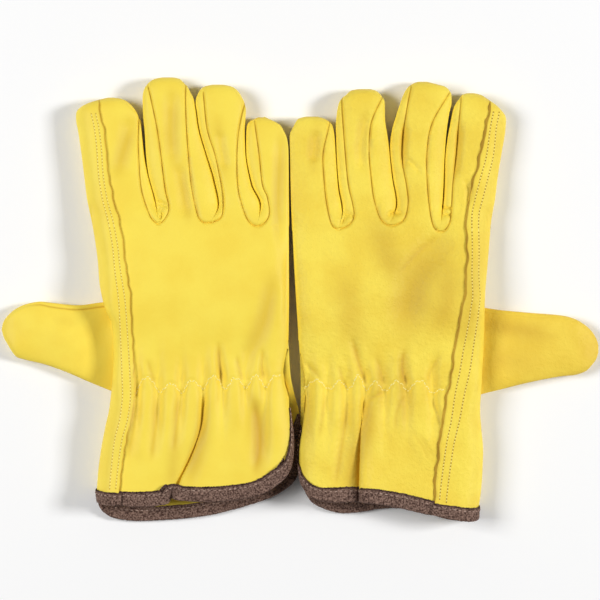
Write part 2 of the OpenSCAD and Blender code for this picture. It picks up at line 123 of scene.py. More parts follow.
# Cuff binding with its nap, and the stitches as (pitch, length, radius).
BINDING_W = 7.8
VENT_BINDING_W = 0.9
NAP_PER_MM = 5.0
NAP_LENGTH = 1.5
NAP_WIDTH = 0.06
NAP_PALE = 0.12
LAP_STITCH = (1.9, 1.25, 0.28)
ELASTIC_STITCH = (2.2, 2.0, 0.36)
BINDING_STITCH = (3.0, 1.7, 0.28)
STITCH_RINGS = ((-1.0, 0.25), (-0.75, 0.85), (-0.3, 1.0), (0.3, 1.0), (0.75, 0.85), (1.0, 0.25))

# Meshes: spacing along a digit, rows of a hand panel, and columns of the back's turned side.
GRID = 0.9
HAND_ROWS = 220
STRIP = 6


def ease(a, b, x):
    """Smooth step from 0 at a to 1 at b."""
    t = np.clip((np.asarray(x, float) - a) / (b - a), 0, 1)
    return t * t * (3 - 2 * t)


def fade(t, rise, fall):
    """1 along the middle of a path, and 0 at both of its ends."""
    return ease(0, rise, t) * ease(1, fall, t)


def bell(d, width):
    """A bump of height 1 that falls off with the distance d."""
    return np.exp(-((d / width) ** 2))


def rounded(x, power):
    """A rounded fall from 1 at 0 to 0 at 1."""
    return (1 - x**power) ** (1 / power)


def mix(a, b, t):
    return a + (b - a) * t


def spow(x, p):
    """Power that keeps the sign."""
    return np.sign(x) * np.abs(x) ** p


def curve(xs, vs):
    """A smooth function through the points that doesn't overshoot them (monotone cubic)."""
    order = np.argsort(xs)
    x, v = np.asarray(xs, float)[order], np.asarray(vs, float)[order]
    h, d = np.diff(x), np.diff(v) / np.diff(x)
    m = np.zeros_like(v)
    m[0], m[-1] = d[0], d[-1]
    for i in range(1, len(v) - 1):
        if d[i - 1] * d[i] > 0:
            a, b = 2 * h[i] + h[i - 1], h[i] + 2 * h[i - 1]
            m[i] = (a + b) / (a / d[i - 1] + b / d[i])

    def value(q):
        q = np.clip(np.asarray(q, float), x[0], x[-1])
        i = np.clip(np.searchsorted(x, q) - 1, 0, len(h) - 1)
        t = (q - x[i]) / h[i]
        start = (1 + 2 * t) * (1 - t) ** 2 * v[i] + t * (1 - t) ** 2 * h[i] * m[i]
        return start + t * t * (3 - 2 * t) * v[i + 1] + t * t * (t - 1) * h[i] * m[i + 1]

    return value


def lengths_of(path):
    """The length along a path at each of its points."""
    return np.concatenate([[0], np.cumsum(np.linalg.norm(np.diff(path, axis=0), axis=1))])


def sample(values, along, s):
    """Values given at lengths along a path, at the lengths s."""
    return np.stack([np.interp(s, along, column) for column in values.T], axis=-1)


def resample(path, shares):
    """Points at shares of a path's length."""
    along = lengths_of(path)
    return sample(path, along, shares * along[-1])


def smooth_path(points, step=1.0):
    """Points along a round path through the given points, about a step apart."""
    p = np.asarray(points, float)
    ends = np.vstack([2 * p[0] - p[1], p, 2 * p[-1] - p[-2]])
    out = []
    for a, b, c, d in zip(ends, ends[1:], ends[2:], ends[3:]):
        n = max(2, int(np.linalg.norm(c - b) / step))
        t = np.linspace(0, 1, n, endpoint=False)[:, None]
        square, cube = 2 * a - 5 * b + 4 * c - d, 3 * b - a - 3 * c + d
        out.append(0.5 * (2 * b + (c - a) * t + square * t**2 + cube * t**3))
    return np.vstack(out + [p[-1:]])


def near(path, u, y):
    """Signed distance to a path (positive on its left) and the share of its length there."""
    u, y = np.asarray(u, float), np.asarray(y, float)
    starts = lengths_of(path)
    best = np.full(u.shape, 1e9)
    sign, share = np.ones(u.shape), np.zeros(u.shape)
    for a, b, length, start in zip(path, path[1:], np.diff(starts), starts):
        du, dy = (b - a) / length
        t = np.clip((u - a[0]) * du + (y - a[1]) * dy, 0, length)
        pu, py = u - a[0] - t * du, y - a[1] - t * dy
        dist = np.hypot(pu, py)
        closer = dist < best
        best = np.where(closer, dist, best)
        sign = np.where(closer, np.where(du * py - dy * pu >= 0, 1.0, -1.0), sign)
        share = np.where(closer, (start + t) / starts[-1], share)
    return best * sign, share


def rumple(u, y, seed, size):
    """A gentle unevenness of about plus or minus one, with waves of about the given size."""
    rng = np.random.default_rng(seed)
    total = np.zeros(np.broadcast(u, y).shape)
    for _ in range(9):
        angle, phase = rng.uniform(0, 2 * math.pi, 2)
        k = 2 * math.pi / (size * rng.uniform(0.6, 1.7))
        total = total + np.sin(k * (u * math.cos(angle) + y * math.sin(angle)) + phase)
    return total / 3


# Each glove as the photograph shows it, in its pixels. A finger's two edges run from its tip to
# its root, and cap is where its tip begins to round. Seams run round the foot of each gap. Dents
# are (path, depth, width); tones are painted shade in the broad hollows, as (path, strength,
# width); folds are (path, depth, width, height of an overhanging flap).
# The rows of the lap are (place along the hand, distance from the lap's edge) in millimetres.
RIGHT = {
    "side": "right",
    "thumb_edge": [
        (75, 118), (77, 130), (80, 150), (83, 174), (86, 198), (91, 222), (95, 246), (97, 262),
        (98.5, 282), (102, 300), (105.5, 311), (110.5, 322), (112.5, 335), (112.8, 355),
        (111.6, 379), (110.5, 391), (108, 410), (104.5, 426), (100, 450), (97, 474), (96, 490),
        (99, 512), (101, 522),
    ],
    "little_edge": [
        (286.5, 138), (288, 150), (288.5, 200), (289, 300), (288.6, 330), (287.4, 346),
        (284.6, 360), (283.2, 372), (284.6, 383), (287.4, 393), (289, 402), (291.5, 418),
        (293.8, 436), (294, 460), (294, 522),
    ],
    "fingers": {
        "index": {
            "cap": 118,
            "thumb": [(107, 96.5), (101, 98), (88, 102), (80, 106), (76, 110), (75, 114)],
            "little": [
                (112, 96.5), (121, 98), (128, 102), (132, 106), (135, 110), (137, 114), (140, 124),
                (142, 140), (144, 156), (147, 172), (154, 198), (159, 223),
            ],
        },
        "middle": {
            "cap": 99,
            "thumb": [
                (162, 76.2), (154, 78), (148, 82), (145, 86), (143, 90), (142, 98), (142.5, 114),
                (144, 130), (145.5, 156), (147.5, 172), (154.3, 198), (159, 223),
            ],
            "little": [
                (172, 76.2), (179, 78), (183, 82), (187, 86), (189, 90), (193, 98), (195.5, 110),
                (198, 127), (205, 152), (213.5, 180), (218, 205), (210, 223),
            ],
        },
        "ring": {
            "cap": 106,
            "thumb": [
                (212, 83.5), (203, 86), (199, 90), (197, 94), (195.4, 98), (195, 104), (196, 110),
                (198.3, 127), (205.3, 152), (213.8, 180), (218.3, 205), (210, 223),
            ],
            "little": [
                (222, 83.5), (232, 86), (237, 90), (240, 94), (242, 98), (244, 102), (245.3, 110),
                (244.3, 128), (245, 150), (251, 184), (260, 205), (257, 225),
            ],
        },
        "little": {
            "cap": 138,
            "thumb": [
                (258, 116.2), (254, 118), (248, 122), (246.2, 126), (245.6, 134), (245.4, 150),
                (251.3, 184), (260.3, 205), (257, 225),
            ],
            "little": [(265, 116.2), (268, 118), (276, 122), (281, 126), (283, 130), (285, 134)],
        },
    },
    "seams": [
        [(139, 106), (138, 130), (138, 149), (141, 188), (149, 213), (154, 221), (158, 223.5),
         (164, 220), (169, 208), (165, 188), (160, 149), (156, 124), (148, 86)],
        [(185, 84), (185.5, 110), (187, 140), (191, 184), (197, 213), (202, 221.5), (208, 222.5),
         (217, 220.5), (222.5, 213), (222.5, 192), (215, 156), (207, 129), (203, 92)],
        [(246, 100), (243, 107), (238, 132), (236.5, 160), (238, 190), (244, 212), (250, 223),
         (258, 226), (265, 222), (269, 213), (267, 197), (262, 184), (259, 156), (254, 120)],
    ],
    "lap": [
        (97.5, 92), (99, 110), (103, 129), (106, 150), (108, 172), (113, 200), (119, 221),
        (124, 248), (126, 267), (131, 305), (132.5, 340), (134, 375), (134.5, 392), (132, 416),
        (126, 439), (122, 466), (119.5, 492), (118, 522),
    ],
    "dents": [
        ([(172, 82), (171, 110), (171, 135), (173, 172)], 1.4, 4.4),
        ([(177, 160), (182, 185), (187, 222)], 1.2, 4.0),
        ([(133, 112), (124, 148), (116, 180)], 1.4, 5.0),
        ([(280, 124), (279, 155), (278, 190), (279, 250)], 1.1, 3.2),
        ([(276, 268), (268, 300), (262, 325), (252, 348), (242, 376)], 1.2, 5.0),
        ([(206, 392), (203, 425), (198, 450), (189, 475), (181, 496)], 1.3, 4.5),
        ([(256, 395), (260, 430), (264, 470)], 1.0, 5.0),
        ([(219, 128), (221, 150), (226, 172)], 1.0, 3.0),
        ([(280, 215), (284, 260), (285, 300)], 0.6, 4.0),
        ([(155, 202.5), (161, 203), (168, 208)], 1.1, 1.1),
        ([(156, 207), (161.5, 211), (160.5, 221)], 1.0, 1.1),
    ],
    # Painted shade in the broad hollows, as (path, strength, width).
    "tones": [
        ([(170, 80), (171, 115), (171, 140), (176, 178)], 0.42, 3.8),
        ([(136, 112), (124, 150), (112, 186)], 0.45, 4.0),
        ([(281, 120), (279, 165), (277, 205), (279, 256)], 0.42, 3.2),
        ([(176, 156), (183, 188), (190, 230)], 0.4, 2.6),
        ([(217, 104), (219, 135), (227, 190)], 0.25, 3.0),
        ([(277, 258), (269, 298), (262, 325), (252, 348), (241, 382)], 0.42, 5.0),
        ([(208, 385), (204, 425), (197, 456), (183, 498)], 0.55, 4.5),
        ([(254, 380), (257, 430), (262, 490)], 0.45, 4.5),
        ([(176, 420), (171, 505)], 0.3, 4.0),
    ],
    "gathers": [137, 158.5, 181, 203, 222, 245, 265],
    "stitch_line": [
        (136, 394), (138, 388), (142, 380), (148, 376.5), (153, 381), (157, 389), (161, 391),
        (166, 386), (171, 382.5), (176, 386), (180, 391.5), (184, 390), (188, 382), (192, 379.5),
        (197, 383), (203, 388), (206, 385), (209, 378), (214, 375), (219, 380), (224, 388),
        (229, 384), (233, 377.5), (239, 379), (244, 386.5), (248, 385), (252, 377), (256, 374),
        (260, 379), (265, 386.5), (269, 382), (273, 375.5), (281, 374.5),
    ],
    "folds": [
        ([(218.5, 338), (219, 362), (222, 385)], 1.5, 1.7, 0.0),
        ([(236, 352), (239, 368), (243, 382)], 0.9, 1.8, 0.0),
        ([(262.5, 345), (261.5, 365), (263, 382)], 1.1, 1.6, 0.0),
        ([(147, 356), (151, 370), (156, 386)], 0.8, 1.8, 0.0),
        ([(205, 388), (204, 416), (200, 436), (191.5, 459), (178, 486), (171, 500)], 1.6, 1.6, 2.6),
        ([(156, 388), (156, 415), (151, 465)], 1.1, 2.8, 0.0),
        ([(179, 388), (177, 415), (174, 455)], 1.2, 2.6, 0.0),
        ([(247, 387), (254, 402), (259, 440), (254, 478)], 1.5, 3.6, 0.0),
        ([(136, 396), (133, 430), (128, 462)], 0.7, 2.2, 0.0),
        ([(286.5, 235), (285, 290), (284, 330)], 0.5, 1.2, 0.0),
    ],
    "cuff": [
        (288.6, 406), (290, 418), (291.8, 436), (291.3, 456), (288, 469), (281, 478), (262, 490.5),
        (240, 496), (209, 498.5), (184, 497.5), (175, 496), (170.5, 495.5), (168, 500), (161, 502),
        (145, 503.5), (117, 503), (98, 500),
    ],
    "cuff_corner": 463,
    "back_bound": 408,
    "palm_bound": 413,
    "bound_wide": (0.0, 0.32),
    "palm_cuff": [
        (287.9, 340), (288.6, 352), (289.2, 364), (290.7, 379), (294.3, 395), (298.3, 410),
        (299.4, 422), (299.7, 445), (298.4, 460), (294.3, 477), (285, 487.5), (268, 497),
        (241, 506), (213, 513), (186, 517), (158, 519), (131, 519.5), (112, 516.5), (101, 509),
        (98, 501),
    ],
    "thumb_top": [
        (118, 301), (103, 301.6), (77, 304.6), (50, 302.2), (39, 301), (29.5, 302.4), (22, 304.6),
        (16, 307.4), (10, 311.6), (5.4, 316.4), (2.0, 321.5), (0.3, 327.5),
    ],
    "thumb_low": [
        (118, 394), (110.7, 391), (87.5, 381.5), (64.3, 371.5), (43, 364), (22.3, 359), (15.6, 357),
        (11.5, 352.5), (6.3, 344), (2.4, 337), (0.3, 329.5),
    ],
    "thumb_cap": 16,
    "lap_rows": [
        [(-150, 2.0), (-100, 2.0), (0, 3.2), (60, 2.1)],
        [(-150, 5.6), (-100, 6.6), (0, 6.0), (60, 4.7)],
    ],
    "thumb_seam": 1.0,
    # Painted shade on the thumb, as (path, strength, width).
    "thumb_tones": [
        ([(50, 318), (64, 321), (84, 324)], 0.12, 3.0),
    ],
    "lap_wave": 0.3,
    "lap_lip": 0.5,
    "grain_seed": 11,
}
LEFT = {
    "side": "left",
    "thumb_edge": [
        (506, 118), (505.5, 128), (502, 150), (498, 174), (495, 198), (491, 222), (489, 246),
        (487, 270), (485, 294), (483.5, 345), (481, 390), (480, 410), (481, 426), (483, 450),
        (482.5, 468), (481, 490), (478, 512), (477, 524),
    ],
    "little_edge": [
        (289.2, 138), (289.5, 150), (290.5, 200), (292, 240), (296.5, 320), (298.5, 345),
        (301.5, 362), (304.5, 382), (305, 400), (303.5, 416), (301, 432), (298.5, 450), (298, 522),
    ],
    "fingers": {
        "index": {
            "cap": 118,
            "thumb": [
                (474, 92), (481, 94), (487, 98), (493, 102), (498, 106), (501.5, 110), (505, 114),
            ],
            "little": [
                (467, 92), (462, 94), (459, 98), (456, 102), (453.7, 106), (452, 112), (449.5, 125),
                (446.7, 140), (444.5, 158), (443.2, 193), (439, 231),
            ],
        },
        "middle": {
            "cap": 104,
            "thumb": [
                (427, 80.6), (431, 82), (445, 86), (449, 90), (451, 94), (451.2, 102), (449, 112),
                (446.5, 128), (445.3, 140), (444.2, 158), (442.9, 193), (439, 231),
            ],
            "little": [
                (418, 80.6), (414, 82), (408, 86), (405, 90), (403, 94), (400, 102), (396, 114),
                (391.5, 130), (389.2, 148), (392.3, 177), (396.3, 203), (389, 225),
            ],
        },
        "ring": {
            "cap": 108,
            "thumb": [
                (370, 88), (376, 90), (380, 94), (383, 98), (384.3, 102), (384.5, 118),
                (386.5, 132), (388.9, 148), (392, 177), (396, 203), (389, 225),
            ],
            "little": [
                (358, 88), (350, 90), (346, 94), (341, 98), (338.5, 102), (336.5, 112),
                (335.3, 125), (336.1, 158), (338.3, 187), (342, 210), (338, 229),
            ],
        },
        "little": {
            "cap": 138,
            "thumb": [
                (317, 115.5), (324, 118), (330, 122), (332.3, 126), (334, 134), (335.8, 158),
                (338, 187), (341.7, 210), (338, 229),
            ],
            "little": [(306, 115.5), (298, 118), (295, 122), (293, 126), (291, 130), (289.3, 134)],
        },
    },
    "seams": [
        [(461, 96), (458.5, 120), (456, 150), (452, 185), (451, 203), (449, 221), (444, 230),
         (438.5, 231.5), (432.5, 226), (429, 210), (426.5, 185), (426, 155), (431, 124), (449, 92)],
        [(411, 86), (407, 105), (402.5, 135), (401.5, 160), (406, 185), (407.5, 203), (404, 218),
         (397, 224), (388.5, 225.5), (380, 219), (373.5, 200), (370.5, 178), (368.5, 150),
         (371, 122), (382, 96)],
        [(341.5, 98), (342.5, 121), (345, 155), (348, 185), (352, 203), (353.5, 216), (348, 225),
         (338, 229), (331, 224), (326, 203), (323.5, 180), (322.5, 155), (327, 132), (330, 118)],
    ],
    "lap": [
        (491, 90), (490, 102), (485, 130), (480.5, 155), (473, 180), (468, 200), (465.5, 216),
        (466.5, 250), (465, 292), (460.5, 312), (456, 340), (452, 368), (447, 393), (443, 420),
        (438.5, 444), (436, 470), (434, 500), (433, 524),
    ],
    "dents": [
        ([(316, 128), (312, 165)], 1.3, 3.0),
        ([(367, 110), (360, 145), (362, 175)], 1.3, 3.2),
        ([(404, 120), (402.5, 150), (404, 172)], 1.5, 2.2),
        ([(459, 120), (457, 152), (454, 180)], 1.3, 2.2),
        ([(462, 178), (468, 190), (466, 205)], 0.8, 1.6),
        ([(452, 232), (430, 250), (414, 272), (406, 300), (402, 335)], 1.8, 9.0),
        ([(404, 158), (411, 163), (420, 174)], 0.7, 1.4),
        ([(387, 218), (391, 212.5), (396, 213.5), (402, 211)], 1.3, 1.2),
        ([(341, 211.5), (347, 213), (354, 218)], 1.1, 1.1),
        ([(338, 226), (344, 219), (345, 212)], 1.0, 1.1),
        ([(440, 206.5), (452, 209)], 0.9, 0.9),
        ([(440, 213), (452, 215.5)], 0.9, 0.9),
    ],
    # Painted shade in the broad hollows, as (path, strength, width).
    "tones": [
        ([(460, 224), (434, 254), (420, 276), (410, 304), (401, 356)], 0.6, 12.0),
        ([(368, 202), (384, 245), (399, 296)], 0.42, 8.0),
        ([(450, 252), (445, 300), (435, 344)], 0.42, 7.0),
        ([(338, 262), (350, 315), (360, 368)], 0.3, 9.0),
        ([(404, 332), (402, 380), (404, 446)], 0.45, 4.0),
        ([(372, 380), (369, 420), (363, 474)], 0.5, 4.0),
        ([(358, 420), (354, 455), (350, 505)], 0.6, 5.0),
        ([(380, 348), (380, 416)], 0.35, 3.5),
        ([(308, 370), (306, 458)], 0.4, 3.5),
        ([(473, 236), (469, 300), (460, 364)], 0.4, 6.0),
        ([(318, 114), (313, 150), (311, 182)], 0.3, 3.5),
        ([(368, 98), (360, 135), (358, 172)], 0.3, 3.2),
        ([(405, 104), (402.5, 150), (406, 186)], 0.35, 2.4),
        ([(460, 104), (457, 152), (452, 194)], 0.35, 2.4),
    ],
    "gathers": [309, 327, 346, 365.5, 384, 406, 432],
    "stitch_line": [
        (304, 389), (308, 384), (313, 380), (318, 379.5), (323, 384), (328, 388), (333, 386),
        (337, 380), (342, 382), (347, 388), (352, 384), (356, 375), (360, 377), (363, 386),
        (367, 389), (372, 382), (376, 381), (380, 387), (385, 390), (390, 385), (395, 380),
        (400, 382), (405, 389.5), (409, 388), (414, 382), (420, 380), (425, 384), (430, 392),
        (436, 390), (445, 387),
    ],
    "folds": [
        ([(350, 332), (356, 355), (363, 377), (366, 388)], 1.6, 2.0, 0.0),
        ([(404, 345), (401.5, 368), (406, 388)], 1.5, 1.9, 0.0),
        ([(374, 352), (379, 368), (383, 387)], 0.9, 1.7, 0.0),
        ([(337, 362), (342, 378), (346, 388)], 0.8, 1.7, 0.0),
        ([(300, 358), (312, 369), (324, 382)], 0.6, 1.5, 0.0),
        ([(440, 352), (430, 370), (426, 384)], 0.7, 1.7, 0.0),
        ([(363.5, 389), (362.5, 417), (361, 444), (359.5, 494), (359, 512)], 1.6, 1.6, 4.2),
        ([(346, 388), (345, 417), (340, 452), (334, 490)], 1.2, 2.4, 0.0),
        ([(326, 388), (322, 415), (318, 440)], 0.8, 2.2, 0.0),
        ([(366, 400), (376, 394), (384, 391)], 0.8, 1.4, 0.0),
        ([(405, 391), (396, 410), (394, 432)], 0.8, 1.8, 0.0),
        ([(430, 394), (436, 412), (440, 428)], 0.7, 1.5, 0.0),
        ([(408, 426), (418, 440), (430, 461)], 0.45, 1.3, 0.0),
        ([(416, 428), (424, 442), (434, 458)], 0.4, 1.2, 0.0),
        ([(440, 236), (424, 246), (408, 262), (396, 276)], 0.6, 2.2, 0.0),
    ],
    "cuff": [
        (303.5, 416), (301.8, 428), (299.6, 440), (298.4, 452), (298.6, 468), (302.5, 484),
        (313, 495), (330, 499), (360, 499), (390, 503), (415, 508.5), (442, 515.5), (462, 518.5),
        (478, 517.5),
    ],
    "cuff_corner": 474,
    "back_bound": 430,
    "palm_bound": 434,
    "bound_wide": (0.03, 0.5),
    "palm_cuff": [
        (298.1, 340), (299.4, 356), (300.1, 373), (300.2, 395), (300.1, 415), (299.4, 435),
        (298.8, 455), (301, 478), (308, 495), (316, 504), (333, 510.5), (347, 512), (362, 510.5),
        (385, 507), (415, 508), (445, 513), (478, 518),
    ],
    "thumb_top": [
        (470, 306), (482, 307), (500, 309.5), (530, 312.3), (562, 315), (574, 318), (586, 325),
        (593, 332), (597, 339), (598.8, 345),
    ],
    "thumb_low": [
        (470, 398), (482, 394), (502, 389), (526, 383), (550, 378), (562, 376), (574, 375),
        (586, 371), (593, 364), (597, 358), (598.8, 352),
    ],
    "thumb_cap": 574,
    "lap_rows": [
        [(-155, 2.4), (-115, 3.9), (-77, 4.0), (-53, 4.8), (-22, 2.4), (0, 2.7), (24, 3.4),
         (60, 2.2)],
        [(-155, 6.4), (-115, 8.4), (-77, 9.7), (-53, 9.7), (-22, 6.4), (0, 6.6), (24, 7.8),
         (60, 5.7)],
    ],
    "thumb_seam": 0.2,
    # Painted shade on the thumb, as (path, strength, width).
    "thumb_tones": [
        ([(462, 322), (500, 326), (566, 338)], 0.4, 5.0),
        ([(474, 352), (500, 360), (545, 362)], 0.2, 6.0),
    ],
    "lap_wave": 0.45,
    "lap_lip": 1.3,
    "grain_seed": 23,
}


class Glove:
    """One glove's plan: its outlines, seams and surface heights in millimetres."""

    def __init__(self, data):
        self.data, self.side = data, data["side"]
        self.sign = -1 if self.side == "right" else 1
        self.root_y = joints[self.side + "_index_flex"]["pos_m"][1] / MM
        self.middle_x = (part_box("right_back")[1].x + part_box("left_back")[0].x) / 2 / MM
        self.thumb_edge = self.edge(data["thumb_edge"])
        self.little_edge = self.edge(data["little_edge"])
        self.lap_edge = self.edge(data["lap"])
        self.seams = [smooth_path(self.plan(s)) for s in data["seams"]]
        self.top = curve(*zip(*HAND_H))
        self.thumb_round = curve(*zip(*THUMB_ROUND))
        self.cuff = smooth_path(self.plan(data["cuff"]), 0.5)
        self.palm_cuff = smooth_path(self.plan(data["palm_cuff"]), 0.5)[::-1]
        self.corner_y = self.level(data["cuff_corner"])
        self.vent_top = self.palm_cuff[-1, 1]

    def plan(self, points):
        p = np.asarray(points, float)
        x = (p[:, 0] - PHOTO_MID[0]) * MM_PER_PX
        y = (PHOTO_MID[1] - p[:, 1]) * MM_PER_PX
        return np.column_stack([self.sign * (x - self.middle_x), y - self.root_y])

    def level(self, row):
        """The y of a row of the photograph."""
        return self.plan([(0, row)])[0, 1]

    def column(self, x):
        """The u of a column of the photograph."""
        return self.plan([(x, 0)])[0, 0]

    def edge(self, points):
        """An outline that runs along the hand, as a function of y."""
        p = self.plan(points)
        return curve(p[:, 1], p[:, 0])

    def beside(self, path, u, y):
        """Signed distance to a path of the photograph, and the share of its length there."""
        return near(smooth_path(self.plan(path)), u, y)

    def place(self, p):
        """From the glove's own plan in millimetres to the frame in metres."""
        p = np.asarray(p, float)
        x, y = self.middle_x + self.sign * p[..., 0], self.root_y + p[..., 1]
        return np.stack([x, y, p[..., 2]], axis=-1) * MM

    def hand_span(self, y):
        low, high = self.little_edge(np.minimum(y, 0)), self.thumb_edge(np.minimum(y, 0))
        return (low + high) / 2, (high - low) / 2

    def side_drops(self, u, y):
        """How far the back has come down at the thumb side and the little-finger side, 0 to 1."""
        y = np.minimum(y, 0)
        sides = (
            (self.thumb_edge(y) - u, self.thumb_round(y)), (u - self.little_edge(y), LITTLE_ROUND),
        )
        return [1 - rounded(1 - np.clip(inside / r, 0, 1), SIDE_POWER) for inside, r in sides]

    def little_side(self, y):
        """Height of the little-finger side, which comes down towards the vent."""
        return mix(VENT_SIDE_H, LITTLE_SIDE_H, ease(ELASTIC_Y - 14, ELASTIC_Y + 16, y))

    def turned(self, y):
        """Angle by which the back runs down round the little-finger side, none along the vent."""
        return np.radians(WALL_TURN) * ease(self.vent_top, self.vent_top + VENT_EASE, y)

    def seam_line(self, u, y, reach):
        """1 on the seams beside the fingers, 0 away from them."""
        return np.max([bell(near(seam, u, y)[0], reach) for seam in self.seams], axis=0)

    def folds(self, u, y):
        """Height of the gathers, folds and dents above the plain back."""
        z = np.zeros(np.broadcast(u, y).shape)
        for path, depth, width in self.data["dents"]:
            d, t = self.beside(path, u, y)
            z -= DENT * depth * bell(d, width) * fade(t, 0.25, 0.75)
        for path, depth, width, flap in self.data["folds"]:
            d, t = self.beside(path, u, y)
            shoulder = bell(np.abs(d) - 2.3 * width, 1.3 * width)
            length = ease(0, 0.15, t) if flap else fade(t, 0.35, 0.75)
            z += depth * (0.4 * shoulder - bell(d, width)) * length
            if flap:
                side = d * self.sign
                up = ease(-0.8, 1.2, side)
                high = up * np.exp(-np.maximum(side, 0) / FLAP_FALL[0])
                low = 0.6 * (1 - up) * np.exp(np.minimum(side, 0) / FLAP_FALL[1])
                z += flap * (high - low) * ease(0.05, 0.7, t) * mix(1.0, 0.6, ease(0.85, 1.0, t))
        decay = bell(y - ELASTIC_Y, np.where(y > ELASTIC_Y, *GATHER_REACH))
        for x in self.data["gathers"]:
            z -= GATHER_H * bell(u - self.column(x), GATHER_W) * decay
        z += 0.5 * GATHER_H * decay
        return z - 0.7 * bell(self.beside(self.data["stitch_line"], u, y)[0], 1.3)

    def crease(self, u, y):
        """How much painted shade darkens the seams, the sharp folds, the foot of the lap's edge and
        the broad hollows, 0 to 1.
        """
        total = SEAM_PAINTED_SHADE * self.seam_line(u, y, PAINTED_SHADE_REACH)
        total = total * (0.78 + 0.22 * np.sin(0.45 * y + u))
        for path, depth, width, flap in self.data["folds"]:
            d, t = self.beside(path, u, y)
            if flap:
                reach = PAINTED_SHADE_REACH * mix(1.8, 1.0, ease(0.1, 0.6, t))
                deep = mix(1.0, 0.6, ease(0.5, 0.9, t))
            else:
                reach, deep = 0.6 * width, min(0.4 * depth, 0.6) * ease(1, 0.75, t)
            total = np.maximum(total, deep * bell(d, reach) * ease(0, 0.35, t))
        # Painted shade along the foot of the lap's raw edge.
        total = np.maximum(total, 0.5 * bell(u - self.lap_at(y) + 0.3, PAINTED_SHADE_REACH))
        return total + self.tone("tones", u, y) * (1 - total)

    def tone(self, kind, u, y):
        """How much painted shade darkens the broad hollows, 0 to 1."""
        clear = np.ones(np.broadcast(u, y).shape)
        for path, deep, width in self.data[kind]:
            d, t = self.beside(path, u, y)
            clear *= 1 - deep * bell(d, width) * fade(t, 0.4, 0.6)
        return 1 - clear

    def overhang(self, u, y):
        """How far the lips of the deep folds lean over the hollows beside them, in u and y."""
        total = np.zeros((2, *u.shape))
        e = 0.3
        for path, _, _, flap in self.data["folds"]:
            if not flap:
                continue
            d, t = self.beside(path, u, y)
            d = d * self.sign
            lean = FOLD_LEAN * ease(-0.4, 0.8, d) * np.exp(-np.maximum(d, 0) / 4.0)
            lean *= ease(0.03, 0.2, t) * ease(0.92, 0.75, t) * self.sign
            for k, (du, dy) in enumerate(((e, 0), (0, e))):
                ahead, behind = (self.beside(path, u + s * du, y + s * dy)[0] for s in (1, -1))
                total[k] -= lean * (ahead - behind) / (2 * e)
        return total

    def plain_z(self, u, y):
        """Height of the hand's plain back, also where it runs on over the finger roots."""
        thumb, little = self.side_drops(u, y)
        top = self.top(np.minimum(y, 0))
        return top - (top - SIDE_H) * thumb - (top - self.little_side(y)) * little

    def detail_z(self, u, y):
        """Folds, dents, seams and unevenness on it."""
        uneven = 0.35 * rumple(u, y, self.data["grain_seed"], 34.0)
        return self.folds(u, y) + uneven - SEAM_GROOVE * self.seam_line(u, y, SEAM_REACH)

    def back_z(self, u, y):
        soft = ease(0.9, 0.4, np.maximum(*self.side_drops(u, y)))
        return self.plain_z(u, y) + soft * self.detail_z(u, y)

    def lap_z(self, u, y):
        """Height of the lap's upper face."""
        return self.back_z(u, y) + lap_lift(u, self.thumb_edge(y))

    def lap_at(self, y):
        """Place of the lap's raw edge, which wanders a little."""
        wave = rumple(0.0 * y, y, self.data["grain_seed"] + 1, 9.0)
        return self.lap_edge(y) + self.data["lap_wave"] * wave

    def lip(self, y):
        """How far the lap's raw edge slopes out, rough along its length."""
        rough = rumple(0.0 * y, y, self.data["grain_seed"] + 2, 7.0)
        cuff = self.level(self.data["cuff"][-1][1])
        return np.maximum(self.data["lap_lip"] * (1 + 0.25 * rough), 0.15) * ease(cuff, cuff + 9, y)


def lap_lift(u, side):
    """How far the lap stands above the back below it, less towards the side of the hand."""
    return LAP_RISE * ease(0, LAP_FADE, side - u)


def under_lap(u, edge, side):
    """How far the back dips to pass below the lap."""
    return (LEATHER_T + LAYER_GAP - lap_lift(u, side)) * ease(edge - 1.8, edge - 0.2, u)


def unit(vectors):
    return vectors / np.maximum(np.linalg.norm(vectors, axis=-1, keepdims=True), 1e-9)


def normals_of(grid):
    """Unit normals of a grid of points, by central differences."""
    return unit(np.cross(np.gradient(grid, axis=1), np.gradient(grid, axis=0)))


def mesh_object(name, points, faces, materials, marks=None, smooth_angle=50):
    """A smooth mesh that remembers its rest shape; marks say which material each face has."""
    mesh = bpy.data.meshes.new(name)
    mesh.from_pydata(np.asarray(points).tolist(), [], faces)
    mesh.validate()
    mesh.polygons.foreach_set("use_smooth", np.ones(len(mesh.polygons), bool))
    mesh.set_sharp_from_angle(angle=math.radians(smooth_angle))
    rest = mesh.attributes.new("rest", "FLOAT_VECTOR", "POINT")
    co = np.zeros(len(mesh.vertices) * 3, np.float32)
    mesh.vertices.foreach_get("co", co)
    rest.data.foreach_set("vector", co)
    for material in materials:
        mesh.materials.append(material)
    if marks is not None:
        mesh.polygons.foreach_set("material_index", np.array(marks, np.int32))
    obj = bpy.data.objects.new(name, mesh)
    bpy.context.scene.collection.objects.link(obj)
    return obj


